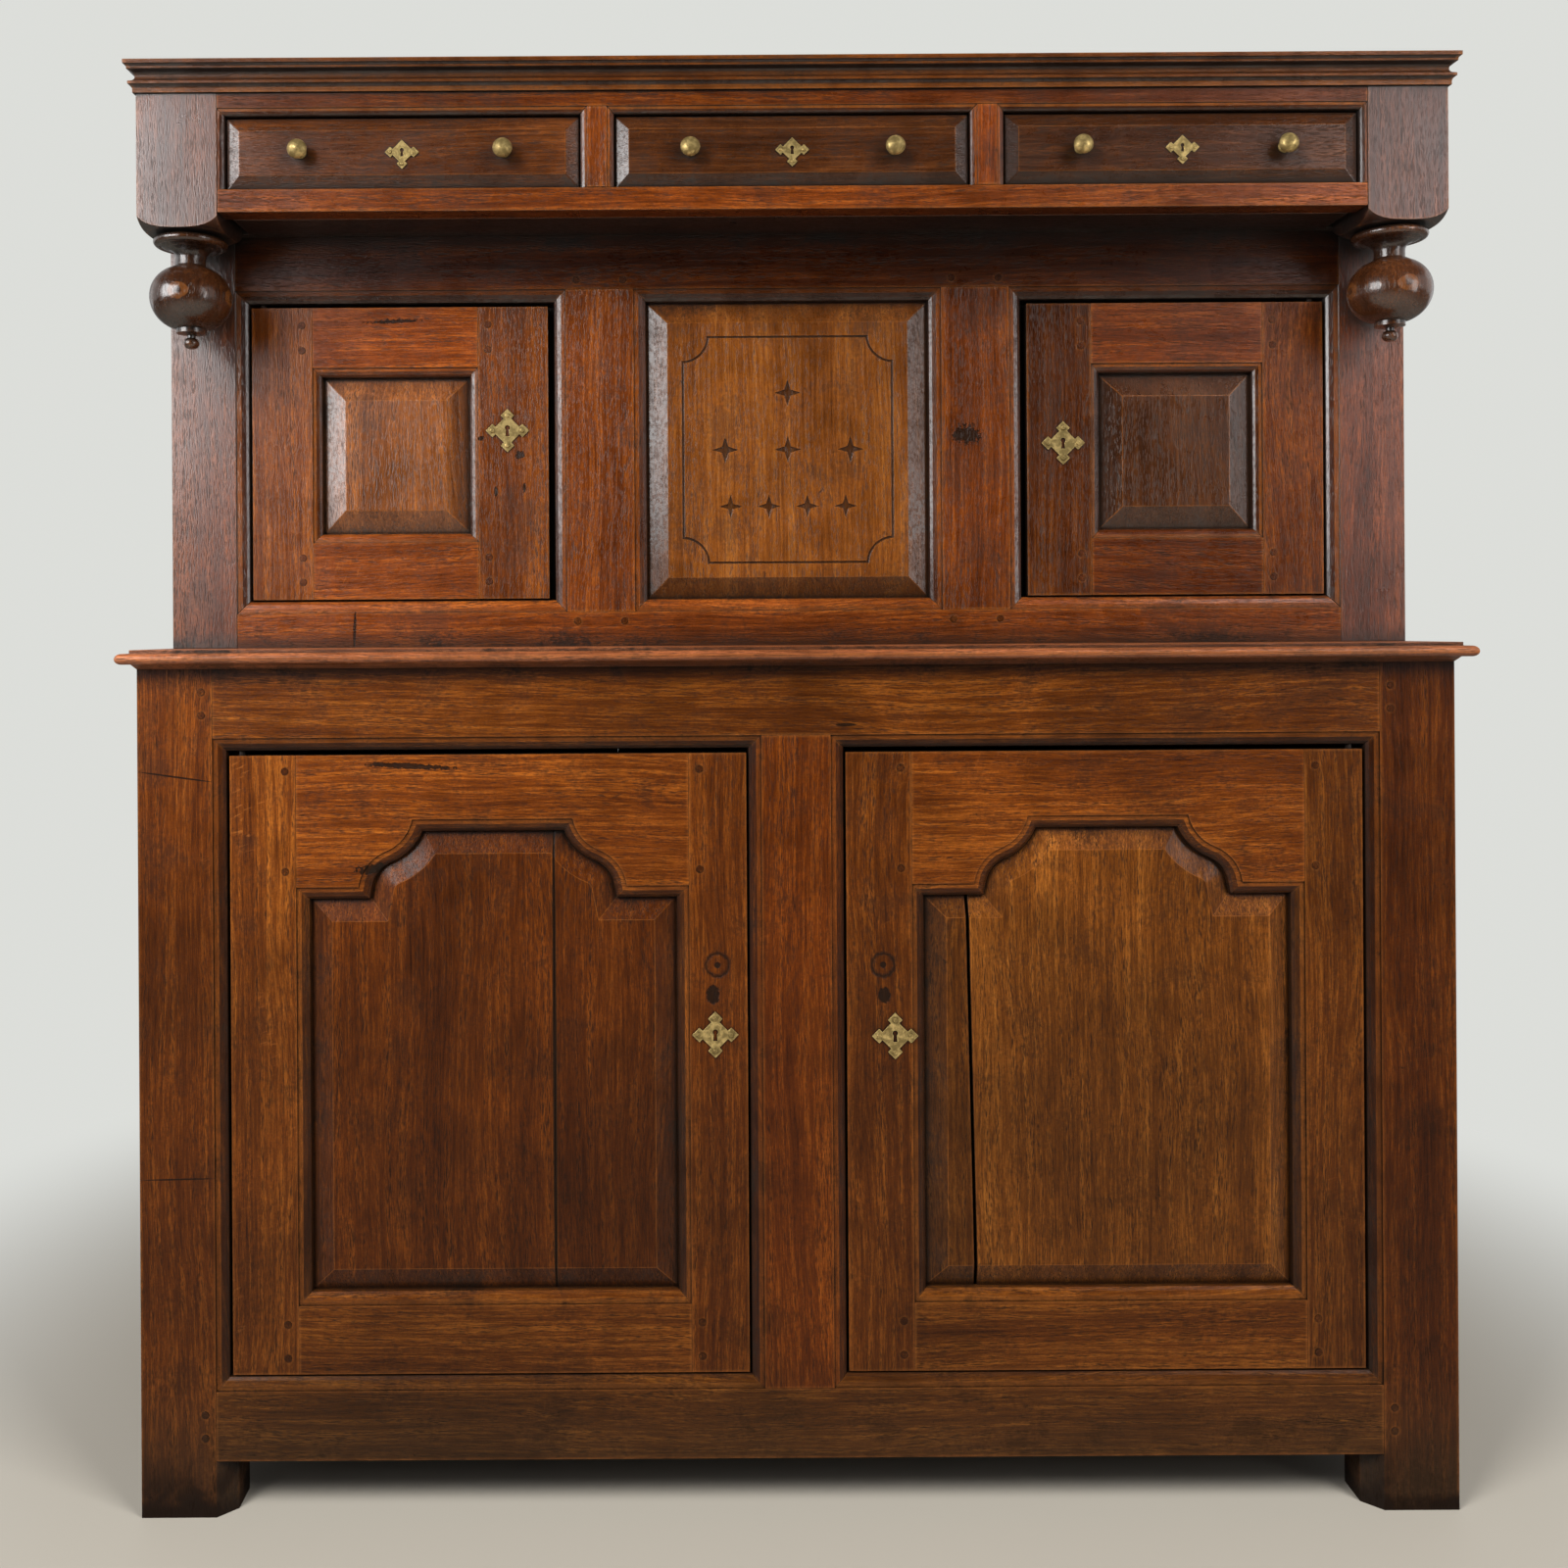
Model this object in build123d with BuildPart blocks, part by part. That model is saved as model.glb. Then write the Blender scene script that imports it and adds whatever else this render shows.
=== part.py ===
from build123d import *
import os
from dataclasses import dataclass
from math import asin, atan2, cos, hypot, pi, sin, tan

# An oak press cupboard in two stages, joined and pegged.
# The base has two arched doors, the recessed upper stage two square doors and a fixed panel,
# and the projecting canopy three drawers, two corner posts and two turned drops.
# Millimetres. +X is the right hand of someone facing the cupboard, -Y the front, +Z up.
# The origin is on the floor, at the middle of the cupboard's width and depth.

os.makedirs("parts", exist_ok=True)

# ---- Overall sizes ----
BASE_WIDTH = 1480.0
CARCASE_DEPTH = 520.0
BASE_HEIGHT = 953.0
UPPER_WIDTH = 1474.0
UPPER_HEIGHT = 625.0
CORNICE_HEIGHT = 35.0
RECESS_DEPTH = 103.0

# ---- Base frame ----
FOOT_HEIGHT = 63.0
FOOT_REACH = 20.0
FOOT_CORNER = 17.0
LEG_WIDTH = 84.0
LEG_DEPTH = 55.0
REAR_LEG_WIDTH = 55.0
REAR_LEG_DEPTH = 70.0
BASE_TOP_RAIL_WIDTH = 78.0
BASE_BOTTOM_RAIL_WIDTH = 78.0
BASE_MUNTIN_WIDTH = 78.0
SIDE_MID_RAIL_WIDTH = 80.0
FRAME_THICKNESS = 32.0
SIDE_THICKNESS = 28.0
STOP_LIP = 12.0
STOP_THICKNESS = 12.0

# ---- Upper frame ----
UPPER_STILE_WIDTH = 77.0
UPPER_STILE_DEPTH = 45.0
UPPER_POST_SIZE = 50.0
UPPER_MUNTIN_WIDTH = 81.0
UPPER_BOTTOM_RAIL_WIDTH = 41.0
UPPER_TOP_RAIL_WIDTH = 72.0
UPPER_SIDE_RAIL_WIDTH = 64.0
CENTRE_OPENING_WIDTH = 368.0
UPPER_OPENING_HEIGHT = 386.0

# ---- Canopy ----
POST_SIZE = 90.0
POST_LENGTH = 150.0
POST_NECK_RADIUS = 43.0
POST_SHOULDER = 15.0
POST_TURNED_RADIUS = 64.8
FRIEZE_TOP_RAIL_WIDTH = 17.0
FRIEZE_BOTTOM_RAIL_WIDTH = 26.0
FRIEZE_MUNTIN_WIDTH = 22.0
FRIEZE_HEIGHT = 134.0
FRIEZE_THICKNESS = 30.0
SOFFIT_THICKNESS = 8.0
TOP_BOARD_THICKNESS = 20.0
CORNICE_OVERHANG = 11.0

# ---- Cornice section: how far each part stands out, and its level over the canopy ----
CORNICE_FOOT_REACH = 3.0
CORNICE_HOLLOW_REACH = 5.0
CORNICE_BEAD_REACH = 7.0
CORNICE_FILLET_REACH = 8.0
CORNICE_FOOT_TOP = 3.0
CORNICE_BEAD_LEVELS = (9.0, 12.0)
CORNICE_HOLLOW_LEVELS = (13.0, 24.0)
CORNICE_FILLET_LEVEL = 25.5
CORNICE_LIP = 4.5
CORNICE_SWELL = 1.2
CORNICE_HOLLOW = 4.0

# ---- Middle board ----
BOARD_THICKNESS = 22.0
BOARD_SIDE_OVERHANG = 16.0
BOARD_FRONT_OVERHANG = 24.0
BOARD_FILLET_HEIGHT = 4.0
BOARD_FILLET_SETBACK = 12.0
BOARD_NOSE_HEIGHT = 12.0

# ---- Joinery ----
SHOULDER_GAP = 0.3
TENON_THICKNESS = 8.0
TENON_NEAR = 16.0
TENON_LENGTH = 40.0
TENON_SHOULDER = 8.0
MORTISE_CLEARANCE = 0.15
PEG_RADIUS = 4.0
PEG_CLEARANCE = 0.1
PEG_INSET = 12.0
PEG_PROUD = 0.6
PEG_END_GAP = 0.3
GROOVE_NEAR = 12.0
GROOVE_WIDTH = 7.0
GROOVE_REACH = 8.0
PANEL_CLEARANCE = 0.3
FIELD_DEPTH = 4.0
BACK_BOARD_THICKNESS = 10.0
BACK_RAIL_THICKNESS = 30.0
BACK_RAIL_WIDTH = 73.0
BACK_BOARD_COUNT = 6
FLOOR_THICKNESS = 14.0
FLOOR_BOARD_COUNT = 3
BEARER_SIZE = 24.0
BOARD_GAP = 0.6

# ---- Doors ----
DOOR_THICKNESS = 24.0
DOOR_SETBACK = 5.0
DOOR_HINGE_GAP = 3.0
DOOR_BOTTOM_GAP = 1.5
DOOR_STOP_GAP = 0.4
DOOR_TENON_NEAR = 9.0
DOOR_TENON_THICKNESS = 7.0
DOOR_TENON_LENGTH = 36.0
PIN_EDGE_DISTANCE = 12.0
PIN_FACE_DISTANCE = 8.0
PIN_RADIUS = 3.5
PIN_LENGTH = 14.0
PIN_CLEARANCE = 0.08
LOCK_LENGTH = 80.0
LOCK_WIDTH = 46.0
LOCK_DEPTH = 14.0
ESCUTCHEON_SIZE = 52.0
ESCUTCHEON_THICKNESS = 1.4
ESCUTCHEON_BODY = 0.36
ESCUTCHEON_LOBE = 0.155
ESCUTCHEON_NAIL = 0.055
ESCUTCHEON_EYE = 0.06
NAIL_HEIGHT = 1.2

# ---- Drawers ----
DRAWER_LENGTH = 430.0
DRAWER_FRONT_THICKNESS = 20.0
DRAWER_SIDE_THICKNESS = 10.0
DRAWER_SIDE_HEIGHT = 60.0
DRAWER_BOTTOM_THICKNESS = 7.0
DRAWER_SETBACK = 2.0
DRAWER_SIDE_GAP = 1.2
DRAWER_TOP_GAP = 1.5
DRAWER_LIFT = 0.3
DRAWER_LAP = 8.0
DRAWER_BEVEL = 15.5
DRAWER_BEVEL_DEPTH = 6.0
RUNNER_BEARING = 14.0
GUIDE_HEIGHT = 22.0
KNOB_RADIUS = 11.0
KNOB_REACH = 22.0
KNOB_SPREAD = 0.575
DRAWER_ESCUTCHEON_SIZE = 38.0

# ---- Drop pendants ----
PENDANT_COLLAR_RADIUS = 42.5
PENDANT_NECK_RADIUS = 16.5
PENDANT_BALL_RADIUS = 45.5
PENDANT_BUTTON_RADIUS = 8.5
PENDANT_DOWEL_RADIUS = 11.0
PENDANT_DOWEL_LENGTH = 45.0
PENDANT_LENGTH = 128.0
COLLAR_BEAD_SETBACK = 9.0
COLLAR_BEAD_SAGITTA = 7.5
COLLAR_SEAT_SETBACK = 12.0
COVE_SETBACK = 14.0
COVE_SAGITTA = 4.0
CUP_WIDTH = 7.0
BUTTON_STEM_RADIUS = 4.5

# Levels down a drop, from the underside of its post
BEAD_TOP = 3.0
BEAD_FOOT = 12.0
COVE_TOP = 14.0
COVE_FOOT = 27.0
NECK_FOOT = 33.0
BALL_TOP = 37.0
BALL_MIDDLE = 72.0
BALL_FOOT = 106.0
CUP_FOOT = 111.0
STEM_TOP = 113.0
BUTTON_TOP = 116.0
BUTTON_MIDDLE = 121.0

# ---- Levels and planes worked out from the sizes ----
FRONT_REACH = max(BOARD_FRONT_OVERHANG, KNOB_REACH, CORNICE_OVERHANG)
FRONT = (FRONT_REACH - CARCASE_DEPTH) / 2
BACK = FRONT + CARCASE_DEPTH
RECESS = FRONT + RECESS_DEPTH
BASE_HALF = BASE_WIDTH / 2
UPPER_HALF = UPPER_WIDTH / 2
BOARD_TOP = BASE_HEIGHT + BOARD_THICKNESS
CANOPY_TOP = BOARD_TOP + UPPER_HEIGHT
FRIEZE_BOTTOM = CANOPY_TOP - FRIEZE_HEIGHT
FLOOR_UNDERSIDE = FOOT_HEIGHT + BACK_RAIL_WIDTH
POST_CENTRE = UPPER_HALF - POST_SIZE / 2
BACK_BOARD_FRONT = BACK - BACK_BOARD_THICKNESS - 2 * SHOULDER_GAP
BACK_RAIL_FRONT = BACK_BOARD_FRONT - SHOULDER_GAP - BACK_RAIL_THICKNESS


@dataclass(frozen=True)
class Moulding:
    """A rounded edge moulding: its width on the face, its full depth and the small step beside it."""

    width: float
    depth: float
    quirk: float = 1.5


@dataclass(frozen=True)
class Opening:
    """An opening between the flat faces of a frame, its moulded edge included.

    An arched head rises above the shoulders at `top` to a flat crown: on each side a straight step,
    then an ogee of two equal arcs.
    """

    left: float
    right: float
    bottom: float
    top: float
    rise: float = 0.0
    crown: float = 0.0
    ogee: float = 0.0
    step: float = 0.0


FRAME_MOULDING = Moulding(width=15.0, depth=9.0)
DOOR_MOULDING = Moulding(width=14.5, depth=9.5)
SMALL_DOOR_MOULDING = Moulding(width=11.0, depth=8.0)
FRIEZE_MOULDING = Moulding(width=8.0, depth=5.0, quirk=1.0)
OGEE_SAGITTA = 6.0
MOULDING_FACETS = 4


# ---- Tools that each piece is made with ----
def facing(y):
    """An upright plane that faces the front, at depth y; its x is +X and its y is +Z."""
    return Plane.XZ.offset(-y)


def side_plane(x):
    """An upright plane that faces the right hand, at x; its x is +Y and its y is +Z."""
    return Plane.YZ.offset(x)


def block(x_ends, y_ends, z_ends, mode=Mode.ADD):
    """A squared block between its ends along each axis."""
    ends = (sorted(x_ends), sorted(y_ends), sorted(z_ends))
    with Locations(tuple((low + high) / 2 for low, high in ends)):
        Box(*(high - low for low, high in ends), mode=mode)


def slab(plane, left, right, bottom, top, near, far, mode=Mode.ADD):
    """A rectangle on a face plane, from depth near to depth far behind that face."""
    with BuildSketch(plane.offset(-near)) as outline:
        with Locations(((left + right) / 2, (bottom + top) / 2)):
            Rectangle(right - left, top - bottom)
    extrude(outline.sketch, amount=near - far, mode=mode)


def on_circle(centre, radius, turn):
    """The point of a circle at an angle from its x."""
    return centre[0] + radius * cos(turn), centre[1] + radius * sin(turn)


def ogee_points(opening, inset):
    """The right side of an arched head from its shoulder to its crown, drawn in by inset.

    The lower arc swells outwards from the steep step, the upper one is hollow and ends steep.
    They share one radius, which the inset takes from the swell and adds to the hollow.
    x is measured from the middle of the opening.
    """
    foot = (opening.crown / 2 + opening.ogee, opening.top + opening.step)
    rise = opening.rise - opening.step
    chord = hypot(opening.ogee, rise) / 2
    radius = chord**2 / (8 * OGEE_SAGITTA) + OGEE_SAGITTA / 2
    half_sweep = asin(chord / 2 / radius)
    across = pi / 2 - atan2(rise, opening.ogee)
    foot_turn, join_turn = across - half_sweep, across + half_sweep
    swell_centre = on_circle(foot, -radius, foot_turn)
    hollow_centre = on_circle(swell_centre, 2 * radius, join_turn)
    swell, hollow = radius - inset, radius + inset
    crown_turn = asin((hollow_centre[1] - opening.top - opening.rise + inset) / hollow)
    start = on_circle(swell_centre, swell, foot_turn)
    shoulder = opening.top - inset
    return (
        (start[0] + (start[1] - shoulder) * tan(foot_turn), shoulder),
        start,
        on_circle(swell_centre, swell, across),
        on_circle(swell_centre, swell, join_turn),
        on_circle(hollow_centre, -hollow, (join_turn + crown_turn) / 2),
        on_circle(hollow_centre, -hollow, crown_turn),
    )


def opening_face(plane, opening, inset):
    """The face of an opening, drawn in from the frame's flat edge by inset."""
    left, right = opening.left + inset, opening.right - inset
    bottom, top = opening.bottom + inset, opening.top - inset
    middle = (left + right) / 2
    with BuildSketch(plane) as face:
        if opening.rise:
            right_side = [(middle + x, z) for x, z in ogee_points(opening, inset)]
            left_side = [(middle - x, z) for x, z in ogee_points(opening, inset)]
            with BuildLine():
                Polyline(
                    right_side[0],
                    (right, top),
                    (right, bottom),
                    (left, bottom),
                    (left, top),
                    left_side[0],
                )
                for corner, foot, swell, join, hollow, crown in (left_side, right_side):
                    Line(corner, foot)
                    ThreePointArc(foot, swell, join)
                    ThreePointArc(join, hollow, crown)
                Line(left_side[-1], right_side[-1])
            make_face()
        else:
            with Locations((middle, (bottom + top) / 2)):
                Rectangle(right - left, top - bottom)
    return face.sketch


def tapered(plane, opening, first, second, mode):
    """Between two outlines of an opening, each given as (inset, depth)."""
    outlines = [opening_face(plane.offset(-depth), opening, inset) for inset, depth in (first, second)]
    loft([outline.faces()[0] for outline in outlines], ruled=True, mode=mode)


def cut_moulded_opening(plane, opening, moulding, thickness):
    """Cut an opening with its edge moulding through what is being made."""
    extrude(opening_face(plane, opening, 0), amount=-moulding.quirk, mode=Mode.SUBTRACT)
    swell = moulding.depth - moulding.quirk
    turns = [step * pi / 2 / MOULDING_FACETS for step in range(MOULDING_FACETS + 1)]
    profile = [(moulding.width * sin(turn), moulding.quirk + swell * (1 - cos(turn))) for turn in turns]
    for first, second in zip(profile, profile[1:]):
        tapered(plane, opening, first, second, Mode.SUBTRACT)
    through = opening_face(plane.offset(-moulding.depth), opening, moulding.width)
    extrude(through, amount=moulding.depth - thickness - 1, mode=Mode.SUBTRACT)


def cut_groove(plane, opening, moulding):
    """Cut the groove that holds a panel round an opening's inner edge."""
    groove = opening_face(plane.offset(-GROOVE_NEAR), opening, moulding.width - GROOVE_REACH)
    extrude(groove, amount=-GROOVE_WIDTH, mode=Mode.SUBTRACT)


def moulded_strip(plane, opening, side, moulding, thickness, gap=0.0):
    """The strip of a frame member that carries one side of an opening's moulding, mitred at its ends."""
    outer = {
        "left": [(opening.left, opening.bottom), (opening.left, opening.top)],
        "right": [(opening.right, opening.bottom), (opening.right, opening.top)],
        "bottom": [(opening.left + gap, opening.bottom), (opening.right - gap, opening.bottom)],
        "top": [(opening.left + gap, opening.top), (opening.right - gap, opening.top)],
    }[side]
    width = moulding.width
    steps = {
        "left": [(width, width), (width, -width)],
        "right": [(-width, width), (-width, -width)],
        "bottom": [(width, width), (-width, width)],
        "top": [(width, -width), (-width, -width)],
    }[side]
    inner = [(x + dx, y + dy) for (x, y), (dx, dy) in zip(outer, steps)]
    with BuildSketch(plane) as strip:
        with BuildLine():
            Polyline(*outer, *reversed(inner), close=True)
        make_face()
    extrude(strip.sketch, amount=-thickness)


def fielded_panel(plane, opening, moulding, bevel):
    """A panel whose thin edge stands in the groove, with a raised field inside a bevelled border."""
    edge = moulding.width - GROOVE_REACH + PANEL_CLEARANCE
    tongue_front = GROOVE_NEAR + PANEL_CLEARANCE
    tongue = opening_face(plane.offset(-tongue_front), opening, edge)
    extrude(tongue, amount=2 * PANEL_CLEARANCE - GROOVE_WIDTH)
    start = moulding.width + PANEL_CLEARANCE
    tapered(plane, opening, (start, tongue_front), (moulding.width + bevel, FIELD_DEPTH), Mode.ADD)


def tenon(plane, ends, sides, mortise=False, near=TENON_NEAR, thickness=TENON_THICKNESS):
    """A tenon in the plane of a frame, or the mortise that it stands in."""
    spare = MORTISE_CLEARANCE if mortise else 0.0
    (left, right), (bottom, top) = sorted(ends), sorted(sides)
    box = (left - spare, right + spare, bottom - spare, top + spare)
    slab(plane, *box, near - spare, near + thickness + spare, Mode.SUBTRACT if mortise else Mode.ADD)


def peg(plane, place, depth, hole=False):
    """An oak peg driven through a joint from its face, or the blind hole that it fills."""
    radius = PEG_RADIUS + PEG_CLEARANCE if hole else PEG_RADIUS
    far = depth + PEG_END_GAP if hole else depth
    near = -1.0 if hole else -PEG_PROUD
    with BuildSketch(plane.offset(-near)) as end:
        with Locations(place):
            Circle(radius)
    extrude(end.sketch, amount=near - far, mode=Mode.SUBTRACT if hole else Mode.ADD)


def write(piece, name):
    """Label a finished piece and write it to its own file."""
    piece.part.label = name
    export_step(piece.part, f"parts/{name}.step")


# ---- Base: front frame ----
base_face = facing(FRONT)
BASE_REVEAL_BOTTOM = FOOT_HEIGHT + BASE_BOTTOM_RAIL_WIDTH
BASE_REVEAL_TOP = BASE_HEIGHT - BASE_TOP_RAIL_WIDTH
LEG_INNER = BASE_HALF - LEG_WIDTH
MUNTIN_HALF = BASE_MUNTIN_WIDTH / 2
PEG_DEPTH = TENON_NEAR + TENON_THICKNESS + 5.0
LEG_PEG_DEPTH = LEG_DEPTH - 10.0
STOP_NEAR = DOOR_SETBACK + DOOR_THICKNESS + DOOR_STOP_GAP

base_openings = [
    Opening(-LEG_INNER, -MUNTIN_HALF, BASE_REVEAL_BOTTOM, BASE_REVEAL_TOP),
    Opening(MUNTIN_HALF, LEG_INNER, BASE_REVEAL_BOTTOM, BASE_REVEAL_TOP),
]
base_rail_levels = [(FOOT_HEIGHT, BASE_REVEAL_BOTTOM), (BASE_REVEAL_TOP, BASE_HEIGHT)]


def leg_pegs(low, high):
    """The places of the two pegs that hold a rail of the base in its right leg."""
    third = (high - low) / 3
    return [(LEG_INNER + PEG_INSET, low + third), (LEG_INNER + PEG_INSET, high - third)]


# The sides of the base are framed in two panels, one over the other.
base_side = side_plane(BASE_HALF)
SIDE_FRONT = FRONT + LEG_DEPTH
SIDE_BACK = BACK - REAR_LEG_DEPTH
MID_RAIL_BOTTOM = (BASE_REVEAL_BOTTOM + BASE_REVEAL_TOP - SIDE_MID_RAIL_WIDTH) / 2
MID_RAIL_TOP = MID_RAIL_BOTTOM + SIDE_MID_RAIL_WIDTH
side_openings = [
    Opening(SIDE_FRONT, SIDE_BACK, BASE_REVEAL_BOTTOM, MID_RAIL_BOTTOM),
    Opening(SIDE_FRONT, SIDE_BACK, MID_RAIL_TOP, BASE_REVEAL_TOP),
]
side_rail_levels = [base_rail_levels[0], (MID_RAIL_BOTTOM, MID_RAIL_TOP), base_rail_levels[1]]
SIDE_TENON_NEAR = 8.0
SIDE_TENON_LENGTH = 26.0


def side_tenons(plane, front, back, levels, mortise):
    """The tenons at both ends of the side rails, or their mortises."""
    for low, high in levels:
        for end, length in ((front, -SIDE_TENON_LENGTH), (back, SIDE_TENON_LENGTH)):
            sides = (low + TENON_SHOULDER, high - TENON_SHOULDER)
            tenon(plane, (end, end + length), sides, mortise, near=SIDE_TENON_NEAR)


def front_tenons(plane, shoulder, levels, mortise):
    """The tenons of the front rails that enter the right-hand stile, or their mortises."""
    for low, high in levels:
        sides = (low + TENON_SHOULDER, high - TENON_SHOULDER)
        tenon(plane, (shoulder, shoulder + TENON_LENGTH), sides, mortise)


with BuildPart() as front_right_leg:
    block((LEG_INNER, BASE_HALF), (FRONT, SIDE_FRONT), (0, BASE_HEIGHT))
    foot_levels = (0, FOOT_HEIGHT - SHOULDER_GAP)
    block((LEG_INNER - FOOT_REACH, LEG_INNER), (FRONT, SIDE_FRONT), foot_levels)
    foot_corner = [
        (LEG_INNER - FOOT_REACH, FRONT),
        (LEG_INNER, FRONT),
        (LEG_INNER - FOOT_REACH, FRONT + FOOT_CORNER),
    ]
    with BuildSketch(Plane.XY) as corner_cut:
        Polygon(*foot_corner, align=None)
    extrude(corner_cut.sketch, amount=foot_levels[1], mode=Mode.SUBTRACT)
    moulded_strip(base_face, base_openings[1], "right", FRAME_MOULDING, LEG_DEPTH)
    for opening in side_openings:
        moulded_strip(base_side, opening, "left", FRAME_MOULDING, SIDE_THICKNESS)
        cut_moulded_opening(base_side, opening, FRAME_MOULDING, SIDE_THICKNESS)
        cut_groove(base_side, opening, FRAME_MOULDING)
    cut_moulded_opening(base_face, base_openings[1], FRAME_MOULDING, LEG_DEPTH)
    front_tenons(base_face, LEG_INNER, base_rail_levels, mortise=True)
    side_tenons(base_side, SIDE_FRONT, SIDE_BACK, side_rail_levels, mortise=True)
    for low, high in base_rail_levels:
        for place in leg_pegs(low, high):
            peg(base_face, place, LEG_PEG_DEPTH, hole=True)
write(front_right_leg, "front_right_leg")

with BuildPart() as front_left_leg:
    mirror(front_right_leg.part, about=Plane.YZ)
write(front_left_leg, "front_left_leg")

with BuildPart() as rear_legs:
    block((BASE_HALF - REAR_LEG_WIDTH, BASE_HALF), (SIDE_BACK, BACK), (0, BASE_HEIGHT))
    for opening in side_openings:
        moulded_strip(base_side, opening, "right", FRAME_MOULDING, SIDE_THICKNESS)
        cut_moulded_opening(base_side, opening, FRAME_MOULDING, SIDE_THICKNESS)
        cut_groove(base_side, opening, FRAME_MOULDING)
    side_tenons(base_side, SIDE_FRONT, SIDE_BACK, side_rail_levels, mortise=True)
    mirror(about=Plane.YZ)
write(rear_legs, "rear_legs")


def hinge_bores(door_edges, level, length):
    """Bores for the door pins, from a level up or down into a rail of the frame in front plane."""
    for x, y in door_edges:
        with BuildSketch(Plane.XY.offset(level)) as bore:
            with Locations((x, y)):
                Circle(PIN_RADIUS + PIN_CLEARANCE)
        extrude(bore.sketch, amount=length, mode=Mode.SUBTRACT)


base_pin_x = LEG_INNER - FRAME_MOULDING.width - DOOR_HINGE_GAP - PIN_EDGE_DISTANCE
base_pin_y = FRONT + DOOR_SETBACK + PIN_FACE_DISTANCE
base_pins = [(-base_pin_x, base_pin_y), (base_pin_x, base_pin_y)]
BORE_DEPTH = PIN_LENGTH + 2.0


def front_rail(plane, low, high, half, openings, side, moulding, pegs):
    """A front rail between two stiles, with its tenons, mouldings and peg holes."""
    slab(plane, SHOULDER_GAP - half, half - SHOULDER_GAP, low, high, 0, FRAME_THICKNESS)
    for opening in openings:
        moulded_strip(plane, opening, side, moulding, FRAME_THICKNESS, SHOULDER_GAP)
    for opening in openings:
        cut_moulded_opening(plane, opening, moulding, FRAME_THICKNESS)
    sides = (low + TENON_SHOULDER, high - TENON_SHOULDER)
    tenon(plane, (half - SHOULDER_GAP, half + TENON_LENGTH), sides)
    tenon(plane, (SHOULDER_GAP - half, -half - TENON_LENGTH), sides)
    for x, z in pegs:
        peg(plane, (x, z), LEG_PEG_DEPTH, hole=True)
        peg(plane, (-x, z), LEG_PEG_DEPTH, hole=True)


MUNTIN_TENON = (-MUNTIN_HALF + TENON_SHOULDER, MUNTIN_HALF - TENON_SHOULDER)

with BuildPart() as base_bottom_rail:
    low, high = base_rail_levels[0]
    pegs = leg_pegs(low, high)
    front_rail(base_face, low, high, LEG_INNER, base_openings, "bottom", FRAME_MOULDING, pegs)
    tenon(base_face, MUNTIN_TENON, (high - TENON_LENGTH, high), mortise=True)
    hinge_bores(base_pins, high + FRAME_MOULDING.width, -BORE_DEPTH)
write(base_bottom_rail, "base_bottom_rail")

with BuildPart() as base_top_rail:
    low, high = base_rail_levels[1]
    pegs = leg_pegs(low, high)
    front_rail(base_face, low, high, LEG_INNER, base_openings, "top", FRAME_MOULDING, pegs)
    tenon(base_face, MUNTIN_TENON, (low, low + TENON_LENGTH), mortise=True)
    hinge_bores(base_pins, low - FRAME_MOULDING.width, BORE_DEPTH)
write(base_top_rail, "base_top_rail")

with BuildPart() as base_muntin:
    low, high = BASE_REVEAL_BOTTOM + SHOULDER_GAP, BASE_REVEAL_TOP - SHOULDER_GAP
    slab(base_face, -MUNTIN_HALF, MUNTIN_HALF, low, high, 0, FRAME_THICKNESS)
    moulded_strip(base_face, base_openings[0], "right", FRAME_MOULDING, FRAME_THICKNESS)
    moulded_strip(base_face, base_openings[1], "left", FRAME_MOULDING, FRAME_THICKNESS)
    for opening in base_openings:
        cut_moulded_opening(base_face, opening, FRAME_MOULDING, FRAME_THICKNESS)
    lip = MUNTIN_HALF + FRAME_MOULDING.width + STOP_LIP
    reveal = (low + FRAME_MOULDING.width, high - FRAME_MOULDING.width)
    slab(base_face, -lip, lip, *reveal, STOP_NEAR, STOP_NEAR + STOP_THICKNESS)
    tenon(base_face, MUNTIN_TENON, (high, high + TENON_LENGTH))
    tenon(base_face, MUNTIN_TENON, (low - TENON_LENGTH, low))
write(base_muntin, "base_muntin")


# ---- Base: sides, back and floor ----
def side_rails(plane, front, back, levels, openings, thickness):
    """The rails of one side frame, each with its mouldings, grooves and tenons."""
    for low, high in levels:
        slab(plane, front + SHOULDER_GAP, back - SHOULDER_GAP, low, high, 0, thickness)
    for opening in openings:
        for side in ("bottom", "top"):
            moulded_strip(plane, opening, side, FRAME_MOULDING, thickness, SHOULDER_GAP)
    for opening in openings:
        cut_moulded_opening(plane, opening, FRAME_MOULDING, thickness)
        cut_groove(plane, opening, FRAME_MOULDING)
    side_tenons(plane, front + SHOULDER_GAP, back - SHOULDER_GAP, levels, mortise=False)


SIDE_BEVEL = 30.0

with BuildPart() as base_side_rails:
    side_rails(base_side, SIDE_FRONT, SIDE_BACK, side_rail_levels, side_openings, SIDE_THICKNESS)
    mirror(about=Plane.YZ)
write(base_side_rails, "base_side_rails")

with BuildPart() as base_side_panels:
    for opening in side_openings:
        fielded_panel(base_side, opening, FRAME_MOULDING, SIDE_BEVEL)
    mirror(about=Plane.YZ)
write(base_side_panels, "base_side_panels")

BACK_INNER = BASE_HALF - REAR_LEG_WIDTH - SHOULDER_GAP
back_rail_ends = (BACK_RAIL_FRONT, BACK_RAIL_FRONT + BACK_RAIL_THICKNESS)

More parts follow.
